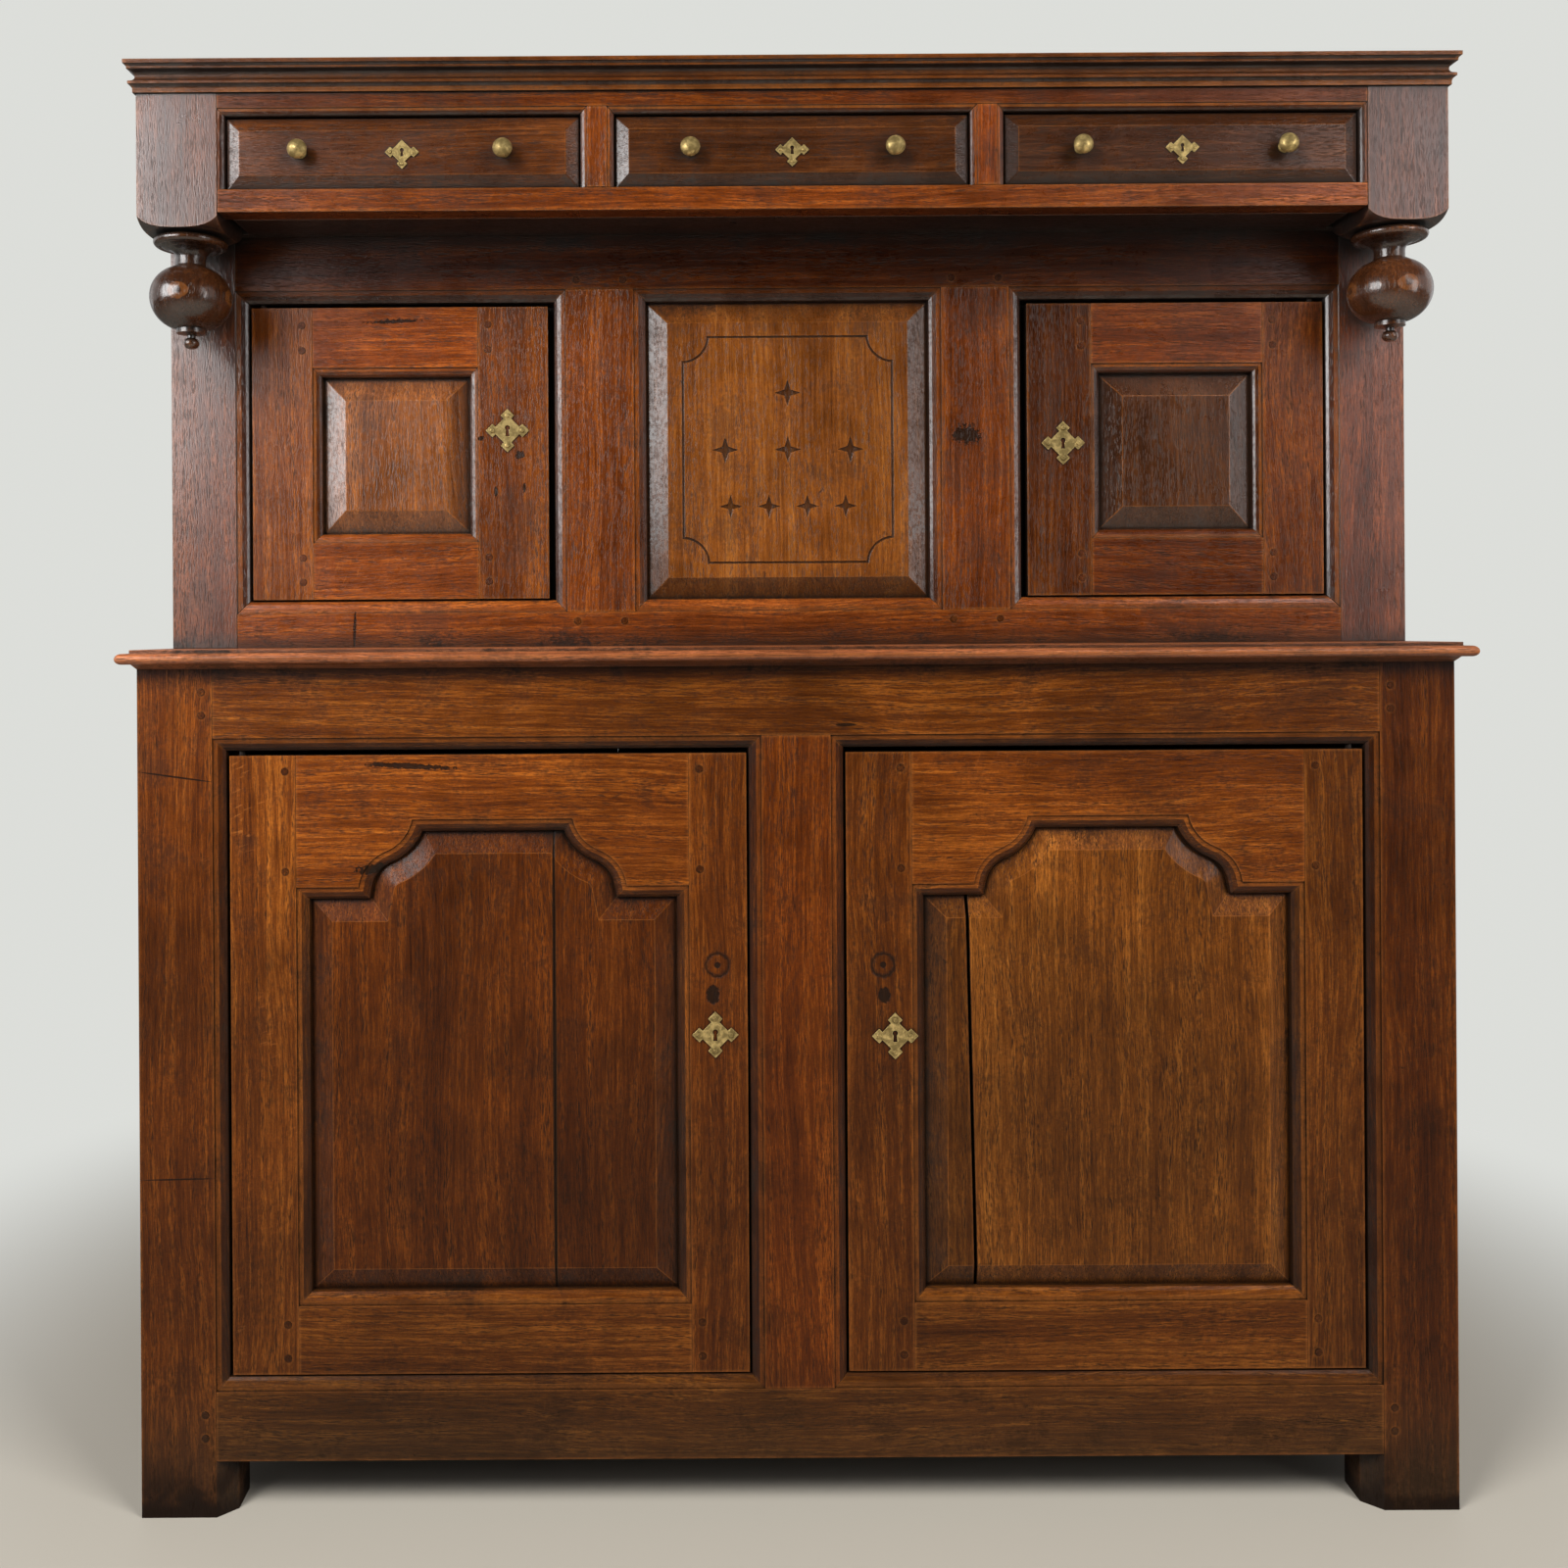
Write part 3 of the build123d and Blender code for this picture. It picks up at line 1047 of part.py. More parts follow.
with BuildPart() as drawer_runners:
    levels = (RUNNER_BOTTOM, FRIEZE_RAIL_TOP)
    guide_levels = (FRIEZE_RAIL_TOP - 1, FRIEZE_RAIL_TOP + GUIDE_HEIGHT)
    depths = (SOFFIT_FRONT, BACK_RAIL_FRONT - SHOULDER_GAP)
    guide_depths = (FRONT + FRIEZE_THICKNESS + SHOULDER_GAP, BACK_RAIL_FRONT - SHOULDER_GAP)
    for (_, left_edge), (right_edge, _) in zip(drawer_edges, drawer_edges[1:]):
        block((left_edge - RUNNER_BEARING, right_edge + RUNNER_BEARING), depths, levels)
        block((left_edge, right_edge), guide_depths, guide_levels)
    for side in (-1, 1):
        edge = drawer_edges[2][1]
        outer = POST_INNER - FRIEZE_MOULDING.width - SHOULDER_GAP
        block((side * (edge - RUNNER_BEARING), side * outer), depths, levels)
        behind_post = (FRONT + POST_SIZE + SHOULDER_GAP, UPPER_SIDE_BACK - SHOULDER_GAP)
        block((side * (outer - 1), side * CANOPY_INNER), behind_post, levels)
        block((side * edge, side * (edge + DRAWER_SIDE_THICKNESS)), behind_post, guide_levels)
write(drawer_runners, "drawer_runners")

with BuildPart() as top_boards:
    depth = (BACK - FRONT) / FLOOR_BOARD_COUNT
    for index in range(FLOOR_BOARD_COUNT):
        near = FRONT + index * depth
        levels = (CANOPY_TOP, CANOPY_TOP + TOP_BOARD_THICKNESS)
        block((-UPPER_HALF, UPPER_HALF), (near, near + depth - BOARD_GAP), levels)
write(top_boards, "top_boards")


def cornice_section(plane, face, away):
    """The cornice's section on an upright plane, from the face it stands on outwards."""
    low, high = CANOPY_TOP, CANOPY_TOP + CORNICE_HEIGHT
    inner = face + away * SHOULDER_GAP
    foot = face + away * CORNICE_FOOT_REACH
    hollow = face + away * CORNICE_HOLLOW_REACH
    bead = face + away * CORNICE_BEAD_REACH
    fillet_edge = face + away * CORNICE_FILLET_REACH
    lip = face + away * CORNICE_OVERHANG
    foot_top = low + CORNICE_FOOT_TOP
    bead_foot, bead_top = (low + level for level in CORNICE_BEAD_LEVELS)
    hollow_foot, hollow_top = (low + level for level in CORNICE_HOLLOW_LEVELS)
    fillet_level = low + CORNICE_FILLET_LEVEL
    with BuildSketch(plane) as section:
        with BuildLine():
            Polyline((inner, low), (foot, low), (foot, foot_top))
            SagittaArc((foot, foot_top), (bead, bead_foot), away * CORNICE_SWELL)
            Polyline((bead, bead_foot), (bead, bead_top), (hollow, hollow_foot))
            SagittaArc((hollow, hollow_foot), (hollow, hollow_top), away * CORNICE_HOLLOW)
            Line((hollow, hollow_top), (fillet_edge, fillet_level))
            SagittaArc((fillet_edge, fillet_level), (lip, high - CORNICE_LIP), away * CORNICE_SWELL)
            Polyline((lip, high - CORNICE_LIP), (lip, high), (inner, high), (inner, low))
        make_face()
    return section.sketch


with BuildPart() as cornice:
    outer_half = UPPER_HALF + CORNICE_OVERHANG
    front_plane = Plane((-outer_half, 0, 0), x_dir=(0, 1, 0), z_dir=(1, 0, 0))
    extrude(cornice_section(front_plane, FRONT, -1), amount=2 * outer_half)
    front_blank = [
        (-outer_half, FRONT - CORNICE_OVERHANG),
        (outer_half, FRONT - CORNICE_OVERHANG),
        (UPPER_HALF, FRONT),
        (-UPPER_HALF, FRONT),
    ]
    with BuildSketch(Plane.XY.offset(CANOPY_TOP - 1)) as front_mitre:
        Polygon(*front_blank, align=None)
    extrude(front_mitre.sketch, amount=CORNICE_HEIGHT + 2, mode=Mode.INTERSECT)

with BuildPart() as cornice_side:
    side_blank = [
        (UPPER_HALF, FRONT + SHOULDER_GAP),
        (UPPER_HALF + CORNICE_OVERHANG, FRONT - CORNICE_OVERHANG + SHOULDER_GAP),
        (UPPER_HALF + CORNICE_OVERHANG, BACK),
        (UPPER_HALF, BACK),
    ]
    side_section_plane = Plane((0, FRONT - CORNICE_OVERHANG, 0), x_dir=(1, 0, 0), z_dir=(0, -1, 0))
    side_section = cornice_section(side_section_plane, UPPER_HALF, 1)
    extrude(side_section, amount=-(CARCASE_DEPTH + CORNICE_OVERHANG))
    with BuildSketch(Plane.XY.offset(CANOPY_TOP - 1)) as side_mitre:
        Polygon(*side_blank, align=None)
    extrude(side_mitre.sketch, amount=CORNICE_HEIGHT + 2, mode=Mode.INTERSECT)
    mirror(about=Plane.YZ)

with BuildPart() as whole_cornice:
    add(cornice.part)
    add(cornice_side.part)
write(whole_cornice, "cornice")

# ---- Pegs of the frames ----
with BuildPart() as frame_pegs:
    for low, high in base_rail_levels:
        for x, z in leg_pegs(low, high):
            peg(base_face, (x, z), LEG_PEG_DEPTH)
            peg(base_face, (-x, z), LEG_PEG_DEPTH)
    for place in upper_peg_places:
        peg(upper_face, place, PEG_DEPTH)
write(frame_pegs, "frame_pegs")


# ---- Brass plates ----
def rivet(centre, radius, height, plane):
    """A low domed nail head on a face plane."""
    with BuildSketch(plane) as head:
        with Locations(centre):
            Circle(radius)
    extrude(head.sketch, amount=height, taper=30)


def keyhole(centre, size, plane, depth):
    """Cut a keyhole: a round eye over a slot that widens downwards."""
    x, y = centre
    with BuildSketch(plane) as hole:
        with Locations((x, y + size)):
            Circle(size)
        flare, foot = 0.8 * size, y - 2.2 * size
        Polygon(
            (x - size / 2, y + size),
            (x + size / 2, y + size),
            (x + flare, foot),
            (x - flare, foot),
            align=None,
        )
    extrude(hole.sketch, amount=depth, mode=Mode.SUBTRACT)


def escutcheon_plate(plane, centre, size, lobes):
    """A square plate set on its corner, with a lozenge lobe and a nail at each named corner."""
    x, y = centre
    body = size * ESCUTCHEON_BODY
    lobe = size * ESCUTCHEON_LOBE
    nail = size * ESCUTCHEON_NAIL
    out = size / 2 - lobe
    with BuildSketch(plane) as outline:
        Polygon((x - body, y), (x, y + body), (x + body, y), (x, y - body), align=None)
        for dx, dy in lobes:
            u, v = x + dx * out, y + dy * out
            Polygon((u - lobe, v), (u, v + lobe), (u + lobe, v), (u, v - lobe), align=None)
    extrude(outline.sketch, amount=ESCUTCHEON_THICKNESS)
    nail_plane = plane.offset(ESCUTCHEON_THICKNESS)
    for dx, dy in lobes:
        rivet((x + dx * out, y + dy * out), nail, NAIL_HEIGHT, nail_plane)
    keyhole(centre, size * ESCUTCHEON_EYE, plane, ESCUTCHEON_THICKNESS)


DOOR_LOBES = ((1, 0), (-1, 0), (0, 1), (0, -1))
DRAWER_LOBES = ((1, 0), (-1, 0), (0, -1))


def knob_profile(face, height):
    """Half of a knob's section, from its seat at the face to the crown of its head."""
    tip = face - KNOB_REACH
    shoulder = face - KNOB_REACH * 0.4
    widest = face - KNOB_REACH * 0.66
    stem = KNOB_RADIUS * 0.42
    Polyline(
        (face, height),
        (face, height + 1.5 * stem),
        (face - 2, height + 1.5 * stem),
        (face - 3, height + stem),
        (shoulder, height + stem),
    )
    head_rise = (shoulder * 0.65 + widest * 0.35, height + KNOB_RADIUS * 0.86)
    ThreePointArc((shoulder, height + stem), head_rise, (widest, height + KNOB_RADIUS))
    cap = widest - tip
    dome = (KNOB_RADIUS**2 + cap**2) / (2 * cap)
    half_way = asin(KNOB_RADIUS / dome) / 2
    crown = (tip + dome * (1 - cos(half_way)), height + dome * sin(half_way))
    ThreePointArc((widest, height + KNOB_RADIUS), crown, (tip, height))
    Line((tip, height), (face, height))


# ---- Drawers ----
DRAWER_FACE = FRONT + DRAWER_SETBACK
drawer_face = facing(DRAWER_FACE)
DRAWER_BOTTOM = FRIEZE_RAIL_TOP + DRAWER_LIFT
DRAWER_TOP = FRIEZE_OPENING_TOP - FRIEZE_MOULDING.width - DRAWER_TOP_GAP
SIDE_START = DRAWER_FACE + DRAWER_FRONT_THICKNESS - DRAWER_LAP
DRAWER_BACK = DRAWER_FACE + DRAWER_LENGTH

for name, (left_edge, right_edge) in zip(("left", "centre", "right"), drawer_edges):
    left, right = left_edge + DRAWER_SIDE_GAP, right_edge - DRAWER_SIDE_GAP
    front_shape = Opening(left, right, DRAWER_BOTTOM, DRAWER_TOP)
    with BuildPart() as drawer_front:
        depths = (DRAWER_BEVEL_DEPTH, DRAWER_FRONT_THICKNESS)
        slab(drawer_face, left, right, DRAWER_BOTTOM, DRAWER_TOP, *depths)
        tapered(drawer_face, front_shape, (0, DRAWER_BEVEL_DEPTH), (DRAWER_BEVEL, 0), Mode.ADD)
        lap = DRAWER_SIDE_THICKNESS + 2 * SHOULDER_GAP
        lap_depths = (SIDE_START - SHOULDER_GAP, DRAWER_BACK)
        for ends in ((left, left + lap), (right - lap, right)):
            block(ends, lap_depths, (DRAWER_BOTTOM, DRAWER_TOP), Mode.SUBTRACT)
        bottom_rebate = (DRAWER_BOTTOM, DRAWER_BOTTOM + DRAWER_BOTTOM_THICKNESS + SHOULDER_GAP)
        block((left, right), lap_depths, bottom_rebate, Mode.SUBTRACT)
    write(drawer_front, f"{name}_drawer_front")

    with BuildPart() as drawer_box:
        side_levels = (
            DRAWER_BOTTOM + DRAWER_BOTTOM_THICKNESS + SHOULDER_GAP,
            DRAWER_BOTTOM + DRAWER_BOTTOM_THICKNESS + DRAWER_SIDE_HEIGHT,
        )
        inner = DRAWER_SIDE_THICKNESS + 2 * SHOULDER_GAP
        bottom_levels = (DRAWER_BOTTOM, DRAWER_BOTTOM + DRAWER_BOTTOM_THICKNESS)
        block((left, right), (SIDE_START, DRAWER_BACK), bottom_levels)
        for ends in ((left, left + DRAWER_SIDE_THICKNESS), (right - DRAWER_SIDE_THICKNESS, right)):
            block(ends, (SIDE_START, DRAWER_BACK), side_levels)
        back = (DRAWER_BACK - DRAWER_SIDE_THICKNESS, DRAWER_BACK)
        block((left + inner, right - inner), back, side_levels)
    write(drawer_box, f"{name}_drawer_box")

    with BuildPart() as drawer_brasses:
        middle, height = (left + right) / 2, (DRAWER_BOTTOM + DRAWER_TOP) / 2
        escutcheon_plate(drawer_face, (middle, height), DRAWER_ESCUTCHEON_SIZE, DRAWER_LOBES)
        half_spread = KNOB_SPREAD * (right - left) / 2
        for x in (middle - half_spread, middle + half_spread):
            with BuildSketch(Plane((x, 0, 0), x_dir=(0, 1, 0), z_dir=(1, 0, 0))) as half_knob:
                with BuildLine():
                    knob_profile(DRAWER_FACE, height)
                make_face()
            revolve(half_knob.sketch, axis=Axis((x, 0, height), (0, 1, 0)))
    write(drawer_brasses, f"{name}_drawer_brasses")


# ---- Doors ----
@dataclass(frozen=True)
class BoardJoint:
    """Where the two boards of a panel meet: how far from the door's left edge at its bottom and its
    top, and how wide the joint has opened.
    """

    at_bottom: float
    at_top: float
    width: float


@dataclass(frozen=True)
class Door:
    """One framed door: its edges, the widths of its frame, its panel and the side it hangs from."""

    name: str
    face: float
    left: float
    right: float
    bottom: float
    top: float
    left_stile: float
    right_stile: float
    bottom_rail: float
    top_rail: float
    moulding: Moulding
    bevel: float
    pin: tuple
    hinge_side: int
    peg_steps: tuple
    plate_height: float
    plate_inset: float
    rise: float = 0.0
    crown: float = 0.0
    ogee: float = 0.0
    step: float = 0.0
    joint: BoardJoint | None = None


def door_opening(door):
    """The opening of a door's frame, to the shoulders of its head."""
    return Opening(
        door.left + door.left_stile,
        door.right - door.right_stile,
        door.bottom + door.bottom_rail,
        door.top - door.top_rail,
        door.rise,
        door.crown,
        door.ogee,
        door.step,
    )


def plate_centre(door):
    """The middle of a door's keyhole plate, which its lock lies behind."""
    free_edge = door.left if door.hinge_side > 0 else door.right
    return free_edge + door.hinge_side * door.plate_inset, door.plate_height


def door_frame_part(door):
    """Stiles, rails, tenons and pegs of a door, joined round its panel."""
    plane = facing(door.face)
    opening = door_opening(door)
    square = Opening(opening.left, opening.right, opening.bottom, opening.top)
    rails = ((door.bottom, opening.bottom), (opening.top, door.top))
    stiles = ((door.left, opening.left, "left", -1), (opening.right, door.right, "right", 1))
    size = dict(near=DOOR_TENON_NEAR, thickness=DOOR_TENON_THICKNESS)
    with BuildPart() as frame:
        for left, right, side, _ in stiles:
            slab(plane, left, right, door.bottom, door.top, 0, DOOR_THICKNESS)
            moulded_strip(plane, square, side, door.moulding, DOOR_THICKNESS)
        for low, high in rails:
            sides = (low + TENON_SHOULDER, high - TENON_SHOULDER)
            tenon(plane, (opening.left, opening.left - DOOR_TENON_LENGTH), sides, mortise=True, **size)
            tenon(plane, (opening.right, opening.right + DOOR_TENON_LENGTH), sides, mortise=True, **size)
        cut_moulded_opening(plane, square, door.moulding, DOOR_THICKNESS)
        for (low, high), side in zip(rails, ("bottom", "top")):
            shoulders = (opening.left + SHOULDER_GAP, opening.right - SHOULDER_GAP)
            slab(plane, *shoulders, low, high, 0, DOOR_THICKNESS)
            moulded_strip(plane, square, side, door.moulding, DOOR_THICKNESS, SHOULDER_GAP)
            sides = (low + TENON_SHOULDER, high - TENON_SHOULDER)
            tenon(plane, (shoulders[0], opening.left - DOOR_TENON_LENGTH), sides, **size)
            tenon(plane, (shoulders[1], opening.right + DOOR_TENON_LENGTH), sides, **size)
        cut_moulded_opening(plane, opening, door.moulding, DOOR_THICKNESS)
        cut_groove(plane, opening, door.moulding)
        near, far = door.peg_steps
        places = [
            (x, z)
            for x in (opening.left - PEG_INSET, opening.right + PEG_INSET)
            for z in (door.bottom + near, door.bottom + far, door.top - near, opening.top + near)
        ]
        for place in places:
            peg(plane, place, DOOR_THICKNESS + 1, hole=True)
        for level, length in ((door.bottom, BORE_DEPTH), (door.top, -BORE_DEPTH)):
            hinge_bores([door.pin], level, length)
        for place in places:
            peg(plane, place, DOOR_THICKNESS)
    return frame


def door_ironwork_part(door):
    """The two pins that a door turns on, and the lock box on its inner face."""
    x, y = door.pin
    inside = door.face + DOOR_THICKNESS + SHOULDER_GAP
    lock_centre, lock_height = plate_centre(door)
    with BuildPart() as ironwork:
        for level, away in ((door.bottom, -1), (door.top, 1)):
            with BuildSketch(Plane.XY.offset(level - away * PIN_LENGTH)) as pin:
                with Locations((x, y)):
                    Circle(PIN_RADIUS)
            extrude(pin.sketch, amount=away * (2 * PIN_LENGTH))
        ends = (lock_centre - LOCK_WIDTH / 2, lock_centre + LOCK_WIDTH / 2)
        levels = (lock_height - LOCK_LENGTH / 2, lock_height + LOCK_LENGTH / 2)
        block(ends, (inside, inside + LOCK_DEPTH), levels)
    return ironwork


def part_boards(door):
    """Part a door's panel into its two boards, along the joint between them."""
    half = door.joint.width / 2
    low, high = door.left + door.joint.at_bottom, door.left + door.joint.at_top
    outline = [
        (low - half, door.bottom),
        (low + half, door.bottom),
        (high + half, door.top),
        (high - half, door.top),
    ]
    with BuildSketch(facing(door.face)) as gap:
        Polygon(*outline, align=None)
    extrude(gap.sketch, amount=-DOOR_THICKNESS, mode=Mode.SUBTRACT)


LOWER_DOOR_TOP_GAP = 5.0
LOWER_DOOR_LOCK_GAP = 2.0
UPPER_DOOR_TOP_GAP = 4.5
UPPER_DOOR_LOCK_GAP = 7.0
ARCH_RISE = 76.0
ARCH_CROWN = 181.0
ARCH_OGEE = 60.0
ARCH_STEP = 4.0

reveal = FRAME_MOULDING.width
lower_edges = (
    MUNTIN_HALF + reveal + LOWER_DOOR_LOCK_GAP,
    LEG_INNER - reveal - DOOR_HINGE_GAP,
)
upper_edges = (
    DOOR_OPENING_INNER + reveal + UPPER_DOOR_LOCK_GAP,
    UPPER_INNER - reveal - DOOR_HINGE_GAP,
)
lower_common = dict(
    face=FRONT + DOOR_SETBACK,
    bottom=BASE_REVEAL_BOTTOM + reveal + DOOR_BOTTOM_GAP,
    top=BASE_REVEAL_TOP - reveal - LOWER_DOOR_TOP_GAP,
    left_stile=74.0,
    right_stile=65.0,
    bottom_rail=77.0,
    top_rail=149.0,
    moulding=DOOR_MOULDING,
    bevel=25.0,
    peg_steps=(18.0, 56.0),
    rise=ARCH_RISE,
    crown=ARCH_CROWN,
    ogee=ARCH_OGEE,
    step=ARCH_STEP,
)
upper_common = dict(
    face=RECESS + DOOR_SETBACK,
    bottom=UPPER_REVEAL_BOTTOM + reveal + DOOR_BOTTOM_GAP,
    top=UPPER_REVEAL_TOP - reveal - UPPER_DOOR_TOP_GAP,
    bottom_rail=68.0,
    top_rail=72.0,
    moulding=SMALL_DOOR_MOULDING,
    bevel=28.0,
    peg_steps=(21.0, 50.0),
)
lower_left_door = Door(
    name="lower_left",
    left=-lower_edges[1],
    right=-lower_edges[0],
    pin=base_pins[0],
    hinge_side=-1,
    plate_height=537.5,
    plate_inset=36.5,
    joint=BoardJoint(at_bottom=364.0, at_top=364.0, width=0.3),
    **lower_common,
)
lower_right_door = Door(
    name="lower_right",
    left=lower_edges[0],
    right=lower_edges[1],
    pin=base_pins[1],
    hinge_side=1,
    plate_height=535.0,
    plate_inset=54.0,
    joint=BoardJoint(at_bottom=146.4, at_top=133.6, width=3.3),
    **lower_common,
)
upper_left_door = Door(
    name="upper_left",
    left=-upper_edges[1],
    right=-upper_edges[0],
    left_stile=72.0,
    right_stile=84.0,
    pin=upper_pins[0],
    hinge_side=-1,
    plate_height=1234.0,
    plate_inset=49.0,
    **upper_common,
)
upper_right_door = Door(
    name="upper_right",
    left=upper_edges[0],
    right=upper_edges[1],
    left_stile=77.0,
    right_stile=72.0,
    pin=upper_pins[1],
    hinge_side=1,
    plate_height=1215.0,
    plate_inset=43.0,
    **upper_common,
)

for door in (lower_left_door, lower_right_door, upper_left_door, upper_right_door):
    write(door_frame_part(door), f"{door.name}_door_frame")
    with BuildPart() as door_panel:
        fielded_panel(facing(door.face), door_opening(door), door.moulding, door.bevel)
        if door.joint:
            part_boards(door)
    write(door_panel, f"{door.name}_door_panel")
    with BuildPart() as escutcheon:
        escutcheon_plate(facing(door.face), plate_centre(door), ESCUTCHEON_SIZE, DOOR_LOBES)
    write(escutcheon, f"{door.name}_door_escutcheon")
    write(door_ironwork_part(door), f"{door.name}_door_ironwork")
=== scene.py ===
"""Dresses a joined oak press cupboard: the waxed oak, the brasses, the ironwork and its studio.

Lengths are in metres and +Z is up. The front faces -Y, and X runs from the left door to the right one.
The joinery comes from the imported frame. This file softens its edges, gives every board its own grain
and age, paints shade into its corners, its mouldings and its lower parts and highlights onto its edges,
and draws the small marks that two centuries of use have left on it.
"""

import logging
import math
import random
from dataclasses import dataclass
from enum import Enum

import bpy
import numpy as np
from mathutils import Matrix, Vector


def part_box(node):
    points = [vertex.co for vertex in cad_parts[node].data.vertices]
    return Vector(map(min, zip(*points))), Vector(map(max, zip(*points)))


log = logging.getLogger("cupboard")

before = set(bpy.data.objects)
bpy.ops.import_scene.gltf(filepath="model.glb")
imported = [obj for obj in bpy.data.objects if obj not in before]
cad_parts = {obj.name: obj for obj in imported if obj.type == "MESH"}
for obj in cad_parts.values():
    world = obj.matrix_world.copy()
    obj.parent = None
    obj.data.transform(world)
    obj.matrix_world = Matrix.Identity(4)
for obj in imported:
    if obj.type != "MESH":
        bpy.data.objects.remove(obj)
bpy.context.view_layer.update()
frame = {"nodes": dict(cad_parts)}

Colour = tuple[float, float, float]
Point = tuple[float, float, float]
Socket = bpy.types.NodeSocket


class Part(Enum):
    """What a run of CAD nodes is made of and how it is dressed."""

    BASE_FRAME = "base frame"
    UPPER_FRAME = "upper frame"
    MOULDED_BOARD = "moulded board"
    POSTS = "posts and stiles"
    DRAWER_FRONT = "drawer fronts"
    TURNED = "turned drops"
    BASE_PANEL = "base panels"
    UPPER_PANEL = "upper panels"
    NAME_PANEL = "centre panel"
    INSIDE = "inside boards"
    BRASS = "brasses"
    IRON = "ironwork"


# ---------------------------------------------------------------------------------------------------
# Node graphs
# ---------------------------------------------------------------------------------------------------

NOISE_MIDDLE = 0.5
NEARBY_RAYS = 4


class Ease(Enum):
    """How a step runs from its low end to its high end."""

    SOFT = "SMOOTHSTEP"
    STRAIGHT = "LINEAR"


@dataclass(frozen=True)
class Step:
    """Carries a value from one range to another.

    Attributes:
        low: Where the step begins.
        high: Where it ends.
        start: The result at low and before it.
        end: The result at high and past it.
        ease: How it runs in between.
    """

    low: float
    high: float
    start: float = 0.0
    end: float = 1.0
    ease: Ease = Ease.SOFT


@dataclass(frozen=True)
class Noise:
    """Smooth random noise.

    Attributes:
        scale: Its cycles in each unit of the place that it is drawn on, which is mostly a metre.
        detail: How many finer octaves it carries.
        rough: How strong those are.
        bend: How far it is bent out of line.
    """

    scale: float
    detail: float = 2.0
    rough: float = 0.5
    bend: float = 0.0


class Graph:
    """A short way of placing nodes in one tree and wiring them together."""

    def __init__(self, tree: bpy.types.NodeTree) -> None:
        """Starts on an emptied tree."""
        self.tree = tree
        tree.nodes.clear()

    def node(self, kind: str, label: str = "", **settings: object) -> bpy.types.Node:
        """Places one node.

        Args:
            kind: Blender's name for the node type, such as "ShaderNodeMath".
            label: What the node does here.
            settings: Properties to set on it.

        Returns:
            The new node.
        """
        made = self.tree.nodes.new(kind)
        made.label = label
        for name, value in settings.items():
            setattr(made, name, value)
        return made

    def feed(self, socket: Socket, value: object) -> None:
        """Wires a socket to another, or sets its value where a plain value is given."""
        if isinstance(value, bpy.types.NodeSocket):
            self.tree.links.new(value, socket)
        elif isinstance(value, tuple) and socket.type == "RGBA":
            socket.default_value = (*value, 1.0)
        else:
            socket.default_value = value

    def feed_all(self, sockets: bpy.types.NodeInputs, values: dict[str, object]) -> None:
        """Feeds several of a node's sockets by name."""
        for name, value in values.items():
            self.feed(sockets[name], value)

    def math(self, operation: str, first: object, second: object, clamp: bool = False) -> Socket:
        """Returns the result of one arithmetic step on values."""
        made = self.node("ShaderNodeMath", operation=operation, use_clamp=clamp)
        self.feed(made.inputs[0], first)
        self.feed(made.inputs[1], second)
        return made.outputs[0]

    def plus(self, first: object, second: object, clamp: bool = False) -> Socket:
        """Returns a sum, kept between 0 and 1 where clamp is set."""
        return self.math("ADD", first, second, clamp)

    def minus(self, first: object, second: object, clamp: bool = False) -> Socket:
        """Returns a difference, kept between 0 and 1 where clamp is set."""
        return self.math("SUBTRACT", first, second, clamp)

    def times(self, first: object, *others: object, clamp: bool = False) -> Socket:
        """Returns a product, kept between 0 and 1 where clamp is set."""
        for count, other in enumerate(others, start=1):
            first = self.math("MULTIPLY", first, other, clamp and count == len(others))
        return first

    def layered(self, start: object, *layers: tuple[Socket, float]) -> Socket:
        """Returns a value with layers added to it, each by its own weight."""
        for value, weight in layers:
            start = self.plus(start, self.times(value, weight))
        return start

    def centred(self, noise: Socket) -> Socket:
        """Returns noise moved so that its middle is 0."""
        return self.minus(noise, NOISE_MIDDLE)

    def step(self, value: object, step: Step) -> Socket:
        """Returns a value carried along a step."""
        made = self.node("ShaderNodeMapRange", interpolation_type=step.ease.value)
        self.feed_all(made.inputs, {
            "Value": value, "From Min": step.low, "From Max": step.high,
            "To Min": step.start, "To Max": step.end,
        })
        return made.outputs["Result"]

    def vector(self, operation: str, first: object, second: object = (0.0, 0.0, 0.0)) -> Socket:
        """Returns the result of one arithmetic step on vectors."""
        made = self.node("ShaderNodeVectorMath", operation=operation)
        self.feed(made.inputs[0], first)
        self.feed(made.inputs[1], second)
        return made.outputs["Value" if operation == "LENGTH" else "Vector"]

    def scaled(self, vector: Socket, factor: Socket) -> Socket:
        """Returns a vector or a colour made longer by a factor."""
        made = self.node("ShaderNodeVectorMath", operation="SCALE")
        self.feed(made.inputs[0], vector)
        self.feed(made.inputs["Scale"], factor)
        return made.outputs[0]

    def split(self, vector: Socket, label: str) -> bpy.types.NodeOutputs:
        """Returns a vector's X, Y and Z, by name."""
        made = self.node("ShaderNodeSeparateXYZ", label)
        self.feed(made.inputs[0], vector)
        return made.outputs

    def blend(self, factor: object, first: object, second: object) -> Socket:
        """Returns two colours mixed by a factor."""
        made = self.node("ShaderNodeMix", data_type="RGBA")
        self.feed(made.inputs["Factor"], factor)
        self.feed(made.inputs[6], first)
        self.feed(made.inputs[7], second)
        return made.outputs[2]

    def noise(self, place: Socket, noise: Noise) -> Socket:
        """Returns a smooth random value between 0 and 1."""
        made = self.node("ShaderNodeTexNoise")
        self.feed_all(made.inputs, {
            "Vector": place, "Scale": noise.scale, "Detail": noise.detail, "Roughness": noise.rough,
            "Distortion": noise.bend,
        })
        return made.outputs["Fac"]

